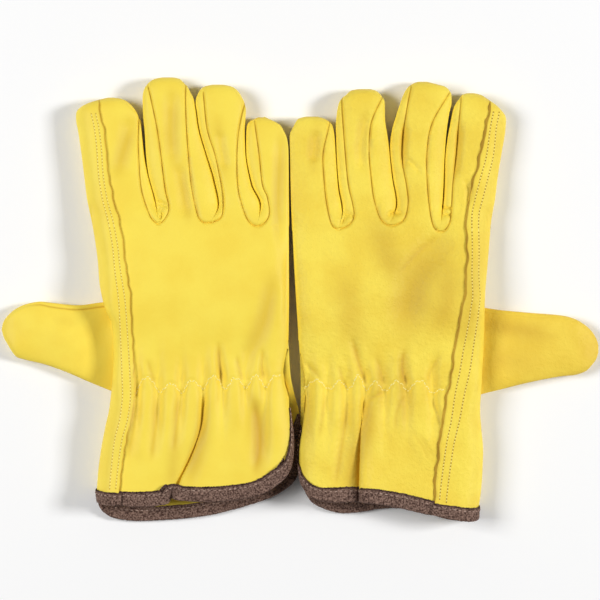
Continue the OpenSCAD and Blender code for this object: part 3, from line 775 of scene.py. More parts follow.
def shell(
    name, glove, grid, material, thickness=LEATHER_T, skip=None, lip=0.0, raw=None, crease=None
):
    """A leather panel: the outer grid of points, an inner one under it, and the rim between.
    The rim at the first column may slope out by a lip, and show a raw edge."""
    rows, cols = grid.shape[:2]
    count = rows * cols
    inner = grid - normals_of(grid) * thickness
    inner[..., 2] = np.maximum(inner[..., 2], 0.15)
    inner[:, 0] += unit(grid[:, 0] - grid[:, 1]) * np.broadcast_to(lip, rows)[:, None]
    points = np.vstack([grid.reshape(-1, 3), inner.reshape(-1, 3)])
    # Painted shade of the seams, folds and hollows, only where the face is more than 3 mm above the
    # surface below.
    if crease is None:
        crease = glove.crease(grid[..., 0], grid[..., 1]) * (grid[..., 2] > 3)
    there = np.pad(np.ones((rows - 1, cols - 1), bool) if skip is None else ~skip, 1)
    faces, marks = [], []

    def quad(a, b, c, d, mark=0):
        faces.append((d, c, b, a) if glove.sign < 0 else (a, b, c, d))
        marks.append(mark)

    for j, i in np.argwhere(there[1:-1, 1:-1]).tolist():
        p, q = j * cols + i, j * cols + i + 1
        s, r = p + cols, q + cols
        quad(p, q, r, s)
        quad(s + count, r + count, q + count, p + count)
        sides = ((j, i + 1, q, p), (j + 2, i + 1, s, r), (j + 1, i, p, s), (j + 1, i + 2, r, q))
        for row, col, a, b in sides:
            if not there[row, col]:
                quad(a, b, b + count, a + count, int(raw is not None and col == 0))
    used = np.unique(np.asarray(faces))
    lookup = np.full(len(points), -1)
    lookup[used] = np.arange(len(used))
    faces = lookup[np.asarray(faces)].tolist()
    materials = [material, raw or material]
    obj = mesh_object(name + MADE, glove.place(points[used]), faces, materials, marks)
    # The painted shade goes to the material as a point attribute; the inner face has none.
    shade = obj.data.attributes.new("crease", "FLOAT", "POINT")
    shade.data.foreach_set("value", np.concatenate([crease.ravel(), np.zeros(count)])[used])
    return obj


class Digit:
    """A finger or thumb: flat rings from its root to its tip, each set by an angle that starts at
    one edge, goes over the top to the other edge at 180, and comes back below."""

    def __init__(self, glove, first, second, ends, heights, sides):
        self.glove, self.first, self.second = glove, first, second
        self.start, self.cap, self.tip = ends
        self.heights, self.sides = heights, sides

    def to_plan(self, across, s):
        return across, s

    def shrink(self, s):
        return rounded(np.clip((s - self.cap) / (self.tip - self.cap), 0, 1), TIP_POWER)

    def span(self, s):
        a, b = self.first(s), self.second(s)
        return (a + b) / 2, (b - a) / 2

    def angle(self, across, s):
        mid, half = self.span(s)
        q = np.clip((mid - across) / half, -1, 1)
        return np.degrees(np.arccos(spow(q, TOP_POWER / 2)))

    def rows(self, caps=12):
        straight = np.linspace(self.start, self.cap, max(3, int((self.cap - self.start) / GRID)))
        turn = np.radians(np.linspace(0, 89.7, caps + 1)[1:])
        return np.concatenate([straight, self.cap + (self.tip - self.cap) * np.sin(turn)])

    def plain(self, across, s, rise):
        """Height of the upper side before its dents and seams."""
        mid, half = self.span(s)
        share = np.clip((across - mid) / half, -1, 1) / 2 + 0.5
        side = TIP_H + (mix(*self.sides, share) - TIP_H) * self.shrink(s)
        return side + (self.heights(s) - side) * rise * self.shrink(s)

    def section(self, a, s):
        """Points for angles a at the places s along the digit."""
        a, s = np.broadcast_arrays(np.asarray(a, float), np.asarray(s, float))
        c, w = np.cos(np.radians(a)), np.sin(np.radians(a))
        above = w >= 0
        mid, half = self.span(s)
        across = mid - half * np.where(above, spow(c, 2 / TOP_POWER), spow(c, 2 / FLOOR_POWER))
        rise = np.where(above, np.abs(w) ** (2 / TOP_POWER), 0.0)
        top = self.plain(across, s, rise) + self.detail(across, s, rise)
        floor = TIP_H * (1 - self.shrink(s))
        drop = np.where(above, 0.0, np.abs(w) ** (2 / FLOOR_POWER))
        z = np.where(above, top, mix(self.plain(across, s, 0 * rise), floor, drop))
        return np.stack([*self.to_plan(across, s), z], axis=-1)


class Finger(Digit):
    """A finger, whose upper side grows out of the hand's back."""

    def __init__(self, glove, name):
        spec = glove.data["fingers"][name]
        n = FINGERS.index(name)
        outer = {"index": ("thumb", "thumb_edge"), "little": ("little", "little_edge")}.get(name)
        if outer:
            spec = {**spec, outer[0]: spec[outer[0]] + glove.data[outer[1]]}
        thumb, little = glove.edge(spec["thumb"]), glove.edge(spec["little"])
        cap, tip = glove.level(spec["cap"]), glove.level(spec["thumb"][0][1])
        tall = curve([0, cap, tip], [FINGER_H[0], FINGER_H[1], FINGER_H[1]])
        sides = (LITTLE_SIDE_H if name == "little" else GAP_H, SIDE_H if name == "index" else GAP_H)
        super().__init__(glove, little, thumb, (0.0, cap, tip), tall, sides)
        self.little_seam = self.seam(n, True) if name != "little" else None
        self.thumb_seam = self.seam(n - 1, False) if name != "index" else None

    def seam(self, gap, little_side):
        """The seam beside a gap, as a function of y."""
        path = self.glove.seams[gap]
        low = int(np.argmin(path[:, 1]))
        part = path[: low + 1] if little_side else path[low:]
        keep = np.concatenate([[True], np.abs(np.diff(part[:, 1])) > 0.02])
        return curve(part[keep, 1], part[keep, 0])

    def grown(self, s):
        return ease(3.0, 14, s)

    def plain(self, across, s, rise):
        own = super().plain(across, s, rise)
        return mix(self.glove.plain_z(across, s), own, self.grown(s))

    def detail(self, across, s, rise):
        soft = mix(1.0, ease(0.05, 0.5, rise), self.grown(s)) * self.shrink(s)
        return soft * self.glove.detail_z(across, s)

    def seam_angle(self, seam, s, low, high):
        return np.clip(self.angle(seam(s), s), low, high)

    def lap_z(self, u, y):
        """Height of the lap's upper face on the index finger."""
        rise = np.sin(np.radians(self.angle(u, y))) ** (2 / TOP_POWER)
        top = self.plain(u, y, rise) + self.detail(u, y, rise)
        return top + lap_lift(u, self.second(np.minimum(y, self.cap)))


class Thumb(Digit):
    """The thumb, which lies across the plan, with a seam along its upper edge."""

    def __init__(self, glove):
        data = glove.data
        upper, lower = glove.plan(data["thumb_top"]), glove.plan(data["thumb_low"])
        tip, cap = upper[:, 0].max(), glove.column(data["thumb_cap"])
        hinge_y = joints[glove.side + "_thumb_flex"]["pos_m"][1] / MM - glove.root_y
        root = glove.thumb_edge(hinge_y) - THUMB_INSET
        first, second = curve(upper[:, 0], -upper[:, 1]), curve(lower[:, 0], -lower[:, 1])
        tall = curve([root, root + THUMB_INSET, root + 30.0, cap, tip], THUMB_H)
        super().__init__(glove, first, second, (root, cap, tip), tall, (THUMB_SIDE_H,) * 2)
        self.seam_in = curve([root, root + 40.0, cap, tip], THUMB_SEAM)

    def to_plan(self, across, s):
        return s, -across

    def seam_at(self, s):
        return self.first(s) + self.seam_in(s)

    def detail(self, across, s, rise):
        seam = 0.7 * self.glove.data["thumb_seam"] * bell(across - self.seam_at(s), SEAM_REACH)
        uneven = 0.4 * rumple(across, s, self.glove.data["grain_seed"] + 5, 26.0)
        return (ease(0.1, 0.6, rise) * uneven - seam) * self.shrink(s)

    def hole(self, grid):
        """Cells of the palm that the thumb goes through."""
        s, y, z = np.moveaxis((grid[:-1, :-1] + grid[1:, 1:]) / 2, -1, 0)
        centre, half = self.span(s)
        q = np.clip(np.abs(-y - centre) / (half - 1.6), 0, 1)
        top = THUMB_SIDE_H + (self.heights(s) - THUMB_SIDE_H) * rounded(q, TOP_POWER) - 1.0
        return (s > self.start + 1.0) & (q < 0.98) & (z < top)


def ring_grid(digit, rows, stops, counts):
    """A grid of points whose columns run between the stop angles, so many from each to the next,
    and the angles. A stop is one angle, or one for each row."""
    stops = [np.broadcast_to(np.asarray(s, float), rows.shape) for s in stops]
    columns = []
    for a, b, count in zip(stops, stops[1:], counts):
        t = np.arange(count) / count
        t = mix(t, (1 - np.cos(math.pi * t)) / 2, 0.65)
        columns += [mix(a, b, share) for share in t]
    a = np.stack(columns + [stops[-1]], axis=1)
    return digit.section(a, rows[:, None]), a


def make_finger(glove, name, look):
    f = Finger(glove, name)
    rows = f.rows()
    low_l, low_t, below = -WALL_TURN, 180 + WALL_TURN, 360 - WALL_TURN
    little = f.seam_angle(f.little_seam, rows, 6, 80) if f.little_seam else None
    thumb = f.seam_angle(f.thumb_seam, rows, 100, 174) if f.thumb_seam else None
    made = []

    def add(part, grid, **more):
        made.append(shell(f"{glove.side}_{name}_{part}", glove, grid, look, **more))

    if name == "index":
        lap = f.seam_angle(glove.lap_at, rows, 90, 172)
        straight = np.minimum(rows, f.cap)
        side, edge = f.second(straight)[:, None], glove.lap_at(straight)[:, None]
        thin = f.shrink(rows)
        grid, _ = ring_grid(f, rows, [little, np.minimum(lap + 16, 168)], [34])
        grid[..., 2] -= under_lap(grid[..., 0], edge, side) * thin[:, None]
        add("back", grid)
        grid, a = ring_grid(f, rows, [lap, 180, below], [16, 26])
        grid[..., 2] += lap_lift(grid[..., 0], side) * (a <= 180) * thin[:, None]
        add("palm", grid, lip=glove.lip(rows) * thin, raw=RAW[glove.side])
        parts = [("fourchette", [low_l, 0, little], [7, 8])]
    elif name == "little":
        parts = [
            ("back", [low_l, 0, thumb], [7, 34]),
            ("palm", [low_t, below], [18]),
            ("fourchette", [thumb, 180, low_t], [8, 8]),
        ]
    else:
        parts = [
            ("back", [little, thumb], [30]),
            ("palm", [low_t, below], [18]),
            ("fourchette_thumb_side", [thumb, 180, low_t], [8, 8]),
            ("fourchette_little_side", [low_l, 0, little], [8, 8]),
        ]
    for part, stops, counts in parts:
        add(part, ring_grid(f, rows, stops, counts)[0])
    return f, made


def make_thumb(glove, look):
    thumb = Thumb(glove)
    rows = thumb.rows(14)
    seam = thumb.angle(thumb.seam_at(rows), rows)
    made = []
    for name, stops, counts in (
        ("back", [seam, 180, 200], [44, 4]),
        ("front", [200, 360, 360 + seam], [36, 8]),
    ):
        grid, _ = ring_grid(thumb, rows, stops, counts)
        u, y, z = np.moveaxis(grid, -1, 0)
        # Painted shade along the thumb's seam, away from its tip, and in its hollows.
        crease = SEAM_PAINTED_SHADE * glove.data["thumb_seam"] * bell(-y - thumb.seam_at(u), PAINTED_SHADE_REACH)
        crease *= (z > 3) * ease(thumb.cap - 3, thumb.cap - 16, rows)[:, None]
        crease = np.maximum(crease, glove.tone("thumb_tones", u, y))
        made.append(shell(f"{glove.side}_thumb_{name}", glove, grid, look, crease=crease))
    return thumb, made


def patch(top, bottom, left, right):
    """A grid filled between four sides (rows from top to bottom, columns from left to right)."""
    v = np.linspace(0, 1, len(left))[:, None, None]
    w = np.linspace(0, 1, len(top))[None, :, None]
    edges = mix(left[:, None], right[:, None], w) + mix(top[None], bottom[None], v)
    return edges - mix(mix(top[0], top[-1], w), mix(bottom[0], bottom[-1], w), v)


def make_back(glove, look):
    """The back, from the little-finger side to below the lap, and its bound rim."""
    cuff = glove.cuff
    v, w = np.linspace(0, 1, HAND_ROWS), np.linspace(0, 1, 176)
    crowd = mix(w, w**1.7, 0.55)
    edge_u = lambda y: glove.little_edge(y) + LAYER_GAP
    under = lambda y: glove.lap_at(y) + LAP_UNDER
    reach = np.argmin(np.abs(cuff[:, 0] - under(cuff[:, 1])))
    corner = int(np.argmax(cuff[:, 1] < glove.corner_y))
    left_y, right_y = v * cuff[corner, 1], v * cuff[reach, 1]
    to_vent = ease(cuff[0, 1] + VENT_EASE, cuff[0, 1], left_y)
    vent_u = np.interp(-left_y, -cuff[: corner + 1, 1], cuff[: corner + 1, 0])
    left = np.column_stack([mix(edge_u(left_y), vent_u, to_vent), left_y])
    right = np.column_stack([under(right_y), right_y])
    top = np.column_stack([mix(edge_u(0.0), under(0.0), crowd), 0 * w])
    bottom = resample(cuff[corner : reach + 1], mix(w, crowd, 0.5))
    left[-1], right[-1] = bottom[0], bottom[-1]
    u, y = np.moveaxis(patch(top, bottom, left, right), -1, 0)
    z = glove.back_z(u, y) - under_lap(u, glove.lap_at(y), glove.thumb_edge(y))
    lean_u, lean_y = glove.overhang(u, y)
    down = np.linspace(1, 0, STRIP + 1)[:-1] * glove.turned(left_y[:, None])
    mid, half = glove.hand_span(left_y[:, None])
    strip = np.broadcast_arrays(
        mid - half * np.cos(down) ** (2 / FLOOR_POWER) + LAYER_GAP,
        left_y[:, None],
        glove.little_side(left_y[:, None]) * (1 - np.sin(down) ** (2 / FLOOR_POWER)),
    )
    grid = np.hstack([np.dstack(strip), np.dstack([u + lean_u, y + lean_y, z])])[::-1]
    gone = np.zeros((HAND_ROWS - 1, grid.shape[1] - 1), bool)
    gone[:, :STRIP] = grid[:-1, :1, 1] < glove.vent_top
    # Painted shade of the seams, folds and hollows; the turned side has none.
    crease = np.hstack([np.zeros(down.shape), glove.crease(u, y)])[::-1]
    back = shell(glove.side + "_back", glove, grid, look, skip=gone, crease=crease)
    bound = glove.level(glove.data["back_bound"])
    vent = np.arange(int(np.argmax(grid[:, STRIP, 1] > bound)), 0, -1)
    past_lap = grid[0, :, 0] - glove.lap_at(grid[0, :, 1])
    foot = slice(STRIP, int(np.argmax(past_lap > 1.5)))
    n = normals_of(grid)
    rim = Rim(
        (grid[vent, STRIP], n[vent, STRIP + 2], grid[vent, STRIP + 6]),
        (grid[0, foot], n[2, foot], grid[6, foot]),
    )
    return back, rim


def make_palm(glove, look, thumb):
    """The palm, which wraps round the thumb side and laps over the back, and its bound rim."""
    cuff, path, vent_top = glove.cuff, glove.palm_cuff, glove.vent_top
    v, w = np.linspace(0, 1, HAND_ROWS), np.linspace(0, 1, 34)
    lap_end = np.argmin(np.abs(cuff[:, 0] - glove.lap_at(cuff[:, 1])))
    y = v[:, None] * resample(cuff[lap_end:], w)[None, :, 1]
    u = mix(glove.thumb_edge(y), glove.lap_at(y), (1 - w[None]) ** 1.7)
    wrap = np.dstack([u, y, glove.lap_z(u, y)])

    corner = len(path) - 1 - int(np.argmax(path[::-1, 1] < glove.corner_y))
    vent = path[corner:]
    right_y = v * vent[0, 1]
    mid, half = glove.hand_span(right_y)
    edge = mid - half * np.cos(glove.turned(right_y)) ** (2 / FLOOR_POWER)
    vent_u = lambda y: np.interp(y, vent[:, 1], vent[:, 0])
    right = np.column_stack([np.where(right_y > vent_top, edge, vent_u(right_y)), right_y])
    left = wrap[:, -1, :2]
    w = np.linspace(0, 1, 90)
    crowd = mix(w, w**2, 0.6)
    top = np.column_stack([mix(left[0, 0], right[0, 0], crowd), 0 * w])
    bottom = resample(np.vstack([left[-1:], path[1 : corner + 1]]), mix(w, crowd, 0.4))
    right[-1] = bottom[-1]
    u, y = np.moveaxis(patch(top, bottom, left, right), -1, 0)
    mid, half = glove.hand_span(y)
    q = np.clip((u - mid) / half, -1, 1)
    rise = rounded(np.abs(q), FLOOR_POWER)
    fall = mix(0.3, 1.0, ease(glove.corner_y, vent_top, y))
    outline = np.where(y > vent_top, glove.little_edge(y), vent_u(y))
    curl = mix(1 - rise, ease(11.0, 2.5, u - outline), ease(vent_top + 4, vent_top - 10, y))
    z = np.where(q < 0, glove.little_side(y) * fall * curl, SIDE_H * (1 - rise))
    z += PALM_LIFT * ease(0.94, 1.0, v)[:, None] * rise
    grid = np.hstack([wrap, np.dstack([u, y, z])[:, 1:]])[::-1]

    lip = glove.lip(grid[:, 0, 1]) * ease(2, 16, np.arange(HAND_ROWS))
    hole, raw = thumb.hole(grid), RAW[glove.side]
    palm = shell(glove.side + "_palm", glove, grid, look, skip=hole, lip=lip, raw=raw)
    bound = glove.level(glove.data["palm_bound"])
    vent = np.arange(1, int(np.argmax(grid[:, -1, 1] > bound)))
    before = [grid[:, :1] + k * (grid[:, :1] - grid[:, 1:2]) for k in (2.0, 1.0)]
    grid = np.hstack(before + [grid])
    n = normals_of(grid)
    rim = Rim((grid[0], n[2], grid[6]), (grid[vent, -1], n[vent, -3], grid[vent, -7]))
    return palm, rim


def around(count):
    """Cosines and sines of so many steps round a circle."""
    return [(math.cos(a), math.sin(a)) for a in (2 * math.pi * k / count for k in range(count))]


def stitches(name, glove, lines, material, stitch, dark=None):
    """Sewn stitches as small rounded rods, with flat dark discs of painted shade for the holes
    between them if asked for; each line is (points, normals)."""
    pitch, length, radius = stitch
    sides, hole_sides, rings = 6, 8, len(STITCH_RINGS)
    points, faces, marks = [], [], []
    for path, up in lines:
        along = lengths_of(path)
        for s in np.arange(pitch / 4, along[-1] - pitch / 2, pitch):
            centre, n = sample(path, along, s), sample(up, along, s)
            t = unit(sample(path, along, s + 0.5) - sample(path, along, s - 0.5))
            n = unit(n - t * np.dot(n, t))
            b = np.cross(t, n)
            base = len(points)
            for at, size in STITCH_RINGS:
                sink = -0.7 * radius * at * at
                middle = centre + t * at * length / 2 + n * sink
                points += [middle + (b * c + n * w) * radius * size for c, w in around(sides)]
            for r in range(rings - 1):
                for k in range(sides):
                    p, q = base + r * sides + k, base + r * sides + (k + 1) % sides
                    faces.append((p, q, q + sides, p + sides))
            faces.append(tuple(base + k for k in reversed(range(sides))))
            faces.append(tuple(base + (rings - 1) * sides + k for k in range(sides)))
            marks += [0] * ((rings - 1) * sides + 2)
            if dark is None:
                continue
            # The hole is painted shade: a flat dark disc just over the surface.
            hole = centre + t * pitch / 2
            base = len(points)
            points += [
                hole + (t * c + b * w) * radius * 1.7 + n * 0.02 for c, w in around(hole_sides)
            ]
            points.append(hole + n * 0.1)
            rim = range(hole_sides)
            faces += [(base + k, base + (k + 1) % hole_sides, base + hole_sides) for k in rim]
            marks += [1] * hole_sides
    if glove.sign < 0:
        faces = [f[::-1] for f in faces]
    points = np.array(points)
    points[:, 2] = np.maximum(points[:, 2], 0.0)
    materials = [material] + ([dark] if dark else [])
    return mesh_object(name + MADE, glove.place(points), faces, materials, marks, 70)


def on_surface(height, u, y):
    """Points and normals of a surface given as a height over the plan."""
    z, e = height(u, y), 0.4
    du = (height(u + e, y) - height(u - e, y)) / (2 * e)
    dy = (height(u, y + e) - height(u, y - e)) / (2 * e)
    return np.column_stack([u, y, z]), unit(np.column_stack([-du, -dy, np.ones_like(z)]))


def lap_thread(name, glove, height, end):
    """The lap's rows of stitches, from the finger roots to the given end."""
    y = np.arange(0.0, end, math.copysign(0.5, end))
    rows = [glove.lap_edge(y) + curve(*zip(*gap))(y) for gap in glove.data["lap_rows"]]
    lines = [on_surface(height, u, y) for u in rows]
    return stitches(name, glove, lines, THREAD, LAP_STITCH, STITCH_HOLE_SHADES[glove.side])


class Rim:
    """The bound edge of a panel, from runs of (points, the way out of its face, points inside)."""

    def __init__(self, *runs):
        self.points, outward, inside = (np.vstack(part) for part in zip(*runs))
        self.outward = self.smooth(outward)
        inward = np.cross(self.outward, unit(np.gradient(self.points, axis=0)))
        inward *= np.sign(np.sum(inward * (inside - self.points)))
        self.inward = self.smooth(inward)
        self.length = lengths_of(self.points)
        self.share = self.length / self.length[-1]

    @staticmethod
    def smooth(vectors, reach=4):
        kernel = np.hanning(2 * reach + 3)[1:-1]
        padded = np.pad(vectors, ((reach, reach), (0, 0)), mode="edge")
        return unit(np.column_stack([np.convolve(c, kernel, "valid") for c in padded.T]))

    def at(self, inside, height):
        """A line along the rim, so far into the panel and so far out of its face."""
        inside, height = (np.broadcast_to(v, self.share.shape)[:, None] for v in (inside, height))
        return self.points + self.inward * inside + self.outward * height


def tape(rim, width, seed):
    """A napped tape folded over a rim: its rings of points, and how many of them are in sight."""
    t, skin = BINDING_T, LEATHER_T
    outer = [(w, t * mix(0.7, 1.0, min(1, (1 - w) * 7))) for w in np.linspace(1, 0, 8)]
    fold = [(-0.6, 0.8), (-1.0, 0.2), (-1.1, -0.6), (-1.0, -1.4), (-0.6, -2.0)]
    inner = [(w, -skin - z) for w, z in outer[::-1]]
    inside = [(0.97, -skin - 0.1), (0.03, -skin - 0.05), (0.03, 0.0), (0.97, 0.05)]
    rng = np.random.default_rng(seed)
    thin = np.minimum(ease(-1.0, 9.0, rim.length), ease(-1.0, 9.0, rim.length[-1] - rim.length))
    rings = []
    for x, z in outer + fold + inner + inside:
        rough = rng.normal(0, 0.1, len(rim.share))
        if x < 0:
            rings.append(rim.at(thin * (x + rough), thin * (z + rough)))
        else:
            rings.append(rim.at(x * width + (x == 1) * rough * 1.5, z + rough * (0.1 < x)))
    return np.stack(rings, axis=1), len(outer) + len(fold) + len(inner)


def binding(glove, rims, widths):
    """The cuff's tape, with loose fibres of its nap standing out of it."""
    seed = glove.data["grain_seed"] + 40
    rng = np.random.default_rng(seed)
    points, faces, marks = [], [], []
    for k, (rim, width) in enumerate(zip(rims, widths)):
        grid, seen = tape(rim, width, seed + 1 + k)
        count, n = grid.shape[:2]
        base = len(points)
        points += list(grid.reshape(-1, 3))
        for j in range(count - 1):
            for i in range(n):
                p, q = base + j * n + i, base + j * n + (i + 1) % n
                faces.append((p, q, q + n, p + n))
        for end in (base, base + (count - 1) * n):
            faces.append(tuple(end + i for i in range(n)))
        # The faces at the tape's upper free edge take painted shade, where the tape meets the
        # leather's face.
        marks += [2 if i in (0, n - 1) else 0 for i in range(n)] * (count - 1) + [0, 0]
        out = normals_of(grid)
        if np.mean(np.sum(out[:, 3] * rim.outward, axis=1)) < 0:
            out = -out
        for _ in range(int(rim.length[-1] * NAP_PER_MM)):
            j, i = rng.integers(1, count - 1), rng.integers(1, seen - 1)
            foot = mix(grid[j, i], grid[j, i + 1], rng.uniform()) + rng.normal(0, 0.25, 3)
            foot = mix(foot, grid[j, i], 0.5)
            lean = unit(out[j, i] + rng.normal(0, 0.8, 3))
            aside = NAP_WIDTH * unit(np.cross(lean, rng.normal(0, 1, 3)))
            base = len(points)
            points += [foot - aside, foot + aside, foot + lean * rng.uniform(0.5, NAP_LENGTH)]
            faces.append((base, base + 1, base + 2))
            marks.append(int(rng.uniform() < NAP_PALE))
    points = np.array(points)
    points[:, 2] = np.maximum(points[:, 2], 0.0)
    name, materials = glove.side + "_cuff_binding" + MADE, [BINDING, LINT, BINDING_EDGE_SHADE]
    obj = mesh_object(name, glove.place(points), faces, materials, marks, 60)
    shape = bmesh.new()
    shape.from_mesh(obj.data)
    bmesh.ops.recalc_face_normals(shape, faces=shape.faces)
    shape.to_mesh(obj.data)
    shape.free()
    return obj


def binding_thread(glove, back, palm, widths):
    """Stitches on the tape: above on the back and the palm, and below on the palm."""
    over = BINDING_T + 0.1
    lines = [
        (back.at(widths[0] * 0.7, over), back.outward),
        (palm.at(widths[1] * 0.7, over), palm.outward),
        (palm.at(widths[1] * 0.7, -LEATHER_T - over), -palm.outward),
    ]
    return stitches(glove.side + "_binding_thread", glove, lines, BINDING_THREAD, BINDING_STITCH)


def srgb(colour):
    """A colour as seen on screen, 0 to 255, as linear light with full alpha."""
    parts = [c / 255 for c in colour]
    return (*(c / 12.92 if c <= 0.04045 else ((c + 0.055) / 1.055) ** 2.4 for c in parts), 1)


# The colour of the painted shade in the seams, folds and hollows.
PAINTED_SHADE_COLOUR = (200, 154, 42)


def node_tree(name, roughness):
    material = bpy.data.materials.new(name)
    material.use_nodes = True
    shader = material.node_tree.nodes["Principled BSDF"]
    shader.inputs["Roughness"].default_value = roughness
    return material, material.node_tree, shader


def wire(tree, node, values, sources):
    """Sets values on a node's inputs, and links outputs of other nodes to them."""
    for key, value in values.items():
        node.inputs[key].default_value = value
    for key, source in sources.items():
        tree.links.new(source, node.inputs[key])
    return node


def add_node(tree, kind, values, sources):
    return wire(tree, tree.nodes.new("ShaderNode" + kind), values, sources)


def attribute(tree, name, output):
    """A value that the mesh carries at its points."""
    node = tree.nodes.new("ShaderNodeAttribute")
    node.attribute_name = name
    return node.outputs[output]


def two_tones(tree, place, scale, detail, tones):
    """A colour that wanders between two tones in noise; a tone is (place on the ramp, colour)."""
    noise = add_node(tree, "TexNoise", {"Scale": scale, "Detail": detail}, {"Vector": place})
    ramp = add_node(tree, "ValToRGB", {}, {"Fac": noise.outputs["Fac"]})
    for element, (position, colour) in zip(ramp.color_ramp.elements, tones):
        element.position, element.color = position, srgb(colour)
    return ramp.outputs["Color"]


def leather(name, colour, deep, grain, roughness=0.55):
    """Grain leather: fine pores and wrinkles, uneven colouring, and painted shade mixed in along
    the seams, folds and hollows.
    """
    material, tree, shader = node_tree(name, roughness)
    place = attribute(tree, "rest", "Vector")
    tones = two_tones(tree, place, 45.0, 6.0, ((0.36, deep), (0.62, colour)))
    # Painted shade: mixes the leather's colour towards the shade colour as far as the mesh's points
    # ask.
    dye_and_painted_shade = tree.nodes.new("ShaderNodeMix")
    dye_and_painted_shade.data_type = "RGBA"
    wire(
        tree, dye_and_painted_shade, {"B": srgb(PAINTED_SHADE_COLOUR)},
        {"Factor": attribute(tree, "crease", "Fac"), "A": tones},
    )
    pores = tree.nodes.new("ShaderNodeTexVoronoi")
    pores.feature = "DISTANCE_TO_EDGE"
    wire(tree, pores, {"Scale": 900.0}, {"Vector": place})
    wrinkle = add_node(tree, "TexNoise", {"Scale": 420.0, "Detail": 5.0}, {"Vector": place})
    cells = add_node(
        tree, "Bump", {"Strength": grain * 0.5, "Distance": 0.0004},
        {"Height": pores.outputs["Distance"]},
    )
    bump = add_node(
        tree, "Bump", {"Strength": grain, "Distance": 0.0006},
        {"Height": wrinkle.outputs["Fac"], "Normal": cells.outputs["Normal"]},
    )
    wire(
        tree, shader, {"Specular IOR Level": 0.3},
        {"Base Color": dye_and_painted_shade.outputs["Result"], "Normal": bump.outputs["Normal"]},
    )
    return material


def cloth(name, colour, other, scale):
    """Thread, tape, nap, or the painted shade of stitch holes and of the tape's edge: two tones in
    fine noise.
    """
    material, tree, shader = node_tree(name, 0.9)
    place = attribute(tree, "rest", "Vector")
    tones = two_tones(tree, place, scale, 4.0, ((0.38, colour), (0.66, other)))
    wire(tree, shader, {"Specular IOR Level": 0.15}, {"Base Color": tones})
    return material


LOOKS = {
    "right": leather("right leather", (252, 227, 84), (249, 220, 77), 0.3),
    "left": leather("left leather", (253, 228, 85), (246, 215, 73), 1.0),
}
THUMB_LOOKS = {
    "right": leather("right thumb leather", (251, 225, 83), (247, 217, 76), 0.3),
    "left": leather("left thumb leather", (247, 215, 78), (238, 202, 67), 0.8),
}
RAW = {
    "right": leather("right raw edge", (226, 190, 66), (205, 165, 50), 0.5, 0.8),
    "left": leather("left raw edge", (216, 176, 60), (172, 134, 40), 0.8, 0.85),
}
ELASTIC_THREAD = cloth("elastic thread", (254, 238, 138), (255, 244, 170), 2000.0)
THREAD = cloth("thread", (252, 234, 130), (255, 242, 165), 2000.0)
# Painted shade of the stitch holes, one for each glove.
STITCH_HOLE_SHADES = {
    "right": cloth("right stitch hole", (214, 179, 66), (226, 192, 76), 2000.0),
    "left": cloth("left stitch hole", (176, 138, 42), (192, 154, 52), 2000.0),
}
ELASTIC = cloth("elastic", (235, 230, 215), (245, 242, 232), 1200.0)
BINDING = cloth("binding", (66, 46, 40), (150, 122, 108), 1050.0)
# Painted shade along the tape's upper free edge.
BINDING_EDGE_SHADE = cloth("binding edge", (48, 33, 29), (96, 73, 63), 560.0)
LINT = cloth("pale nap", (160, 132, 112), (206, 180, 156), 900.0)
BINDING_THREAD = cloth("binding thread", (150, 122, 108), (200, 174, 158), 400.0)


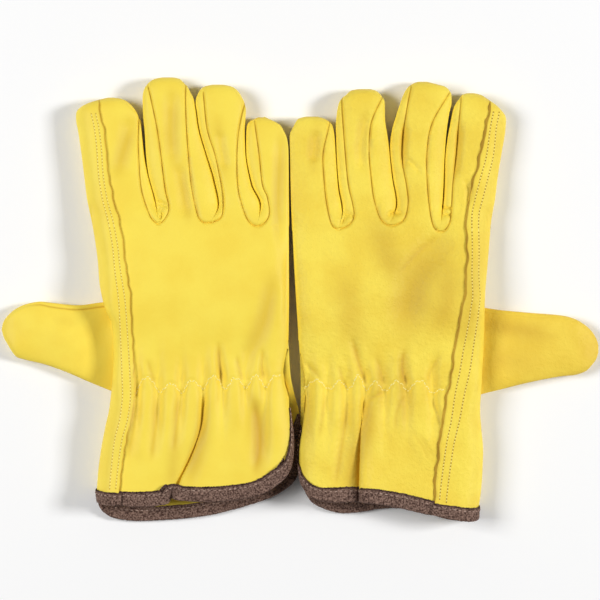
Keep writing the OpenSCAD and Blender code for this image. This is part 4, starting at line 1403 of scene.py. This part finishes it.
def dress(glove):
    """Builds every piece of one glove, and ties the pieces of its hand to the frame."""
    side, data, look = glove.side, glove.data, LOOKS[glove.side]
    hand = side + "_hand"

    def keep(obj, slot):
        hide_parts(obj.name.removesuffix(MADE))
        return obj

    def bend(obj):
        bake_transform(obj)

    thumb, thumb_pieces = make_thumb(glove, THUMB_LOOKS[side])
    back, back_rim = make_back(glove, look)
    palm, palm_rim = make_palm(glove, look, thumb)
    for obj in (back, palm):
        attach(keep(obj, "leather"), hand)
    for name in FINGERS:
        finger, pieces = make_finger(glove, name, look)
        slots = ["leather"] * len(pieces)
        if name == "index":
            thread = side + "_index_lap_thread"
            pieces.append(lap_thread(thread, glove, finger.lap_z, finger.cap + 4))
            slots.append("thread")
        for obj, slot in zip(pieces, slots):
            bend(keep(obj, slot))
    root = glove.place((thumb.start + THUMB_INSET, 0, 0))[0]
    for obj in thumb_pieces:
        bend(keep(obj, "leather"))

    end = back_rim.points[-1, 1] + BINDING_W
    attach(keep(lap_thread(side + "_lap_thread", glove, glove.lap_z, end), "thread"), hand)

    line = smooth_path(glove.plan(data["stitch_line"]), 0.4)
    line = line[line[:, 0] > 1.5]
    line[:, 1] += np.where(np.arange(len(line)) // 5 % 2 == 0, 0.4, -0.4)
    lines = [on_surface(glove.back_z, *line.T)]
    thread = stitches(side + "_elastic_thread", glove, lines, ELASTIC_THREAD, ELASTIC_STITCH)
    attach(keep(thread, "thread"), hand)

    u = np.linspace(glove.little_edge(ELASTIC_Y) + 5, glove.lap_edge(ELASTIC_Y) + 2, 110)
    y = np.linspace(ELASTIC_Y - ELASTIC_W / 2, ELASTIC_Y + ELASTIC_W / 2, 9)
    u, y = np.meshgrid(u, y)
    grid = np.dstack([u, y, glove.back_z(u, y) - LEATHER_T - 0.4])
    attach(keep(shell(side + "_elastic", glove, grid, ELASTIC, ELASTIC_T), "elastic"), hand)

    rims = (back_rim, palm_rim)
    widths = (
        mix(VENT_BINDING_W, BINDING_W, ease(*data["bound_wide"], back_rim.share)),
        mix(VENT_BINDING_W, 0.9 * BINDING_W, ease(-0.02, 0.09, 1 - palm_rim.share)),
    )
    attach(keep(binding(glove, rims, widths), "binding"), hand)
    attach(keep(binding_thread(glove, *rims, widths), "thread"), hand)


for glove_data in (RIGHT, LEFT):
    dress(Glove(glove_data))

# floor, light and camera, in metres
FLOOR_HALF, FLOOR_Z, FLOOR_WHITE = 3.0, -0.0005, 0.97
WORLD_LIGHT = 0.14
CAMERA_H, VIEW_W = 1.6, PHOTO_SIZE * MM_PER_PX * MM
GLOVE_MID_H = 0.010

scene = bpy.context.scene
floor_material, _, floor_shader = node_tree("floor", 0.9)
floor_shader.inputs["Base Color"].default_value = (FLOOR_WHITE,) * 3 + (1,)
corners = ((-1, -1), (1, -1), (1, 1), (-1, 1))
corners = [(x * FLOOR_HALF, y * FLOOR_HALF, FLOOR_Z) for x, y in corners]
mesh_object("floor", corners, [(0, 1, 2, 3)], [floor_material])

world = bpy.data.worlds.new("studio")
scene.world = world
world.use_nodes = True
world.node_tree.nodes["Background"].inputs["Color"].default_value = (1, 1, 1, 1)
world.node_tree.nodes["Background"].inputs["Strength"].default_value = WORLD_LIGHT


def softbox(name, place, size, watts):
    """A square lamp that looks at the middle of the pair."""
    data = bpy.data.lights.new(name, "AREA")
    data.shape, data.size, data.energy = "SQUARE", size, watts
    obj = bpy.data.objects.new(name, data)
    scene.collection.objects.link(obj)
    obj.location = place
    obj.rotation_euler = (-Vector(place)).to_track_quat("-Z", "Y").to_euler()


softbox("fill", (-1.7, 0.25, 1.7), 1.0, 39.0)
softbox("key", (2.0, 0.2, 1.4), 0.5, 42.0)

camera_data = bpy.data.cameras.new("camera")
camera = bpy.data.objects.new("camera", camera_data)
scene.collection.objects.link(camera)
camera.location = (0, -0.5 * MM_PER_PX * MM, CAMERA_H)
camera_data.angle = 2 * math.atan(VIEW_W / 2 / (CAMERA_H - GLOVE_MID_H))
scene.camera = camera

scene.view_settings.view_transform = "Standard"
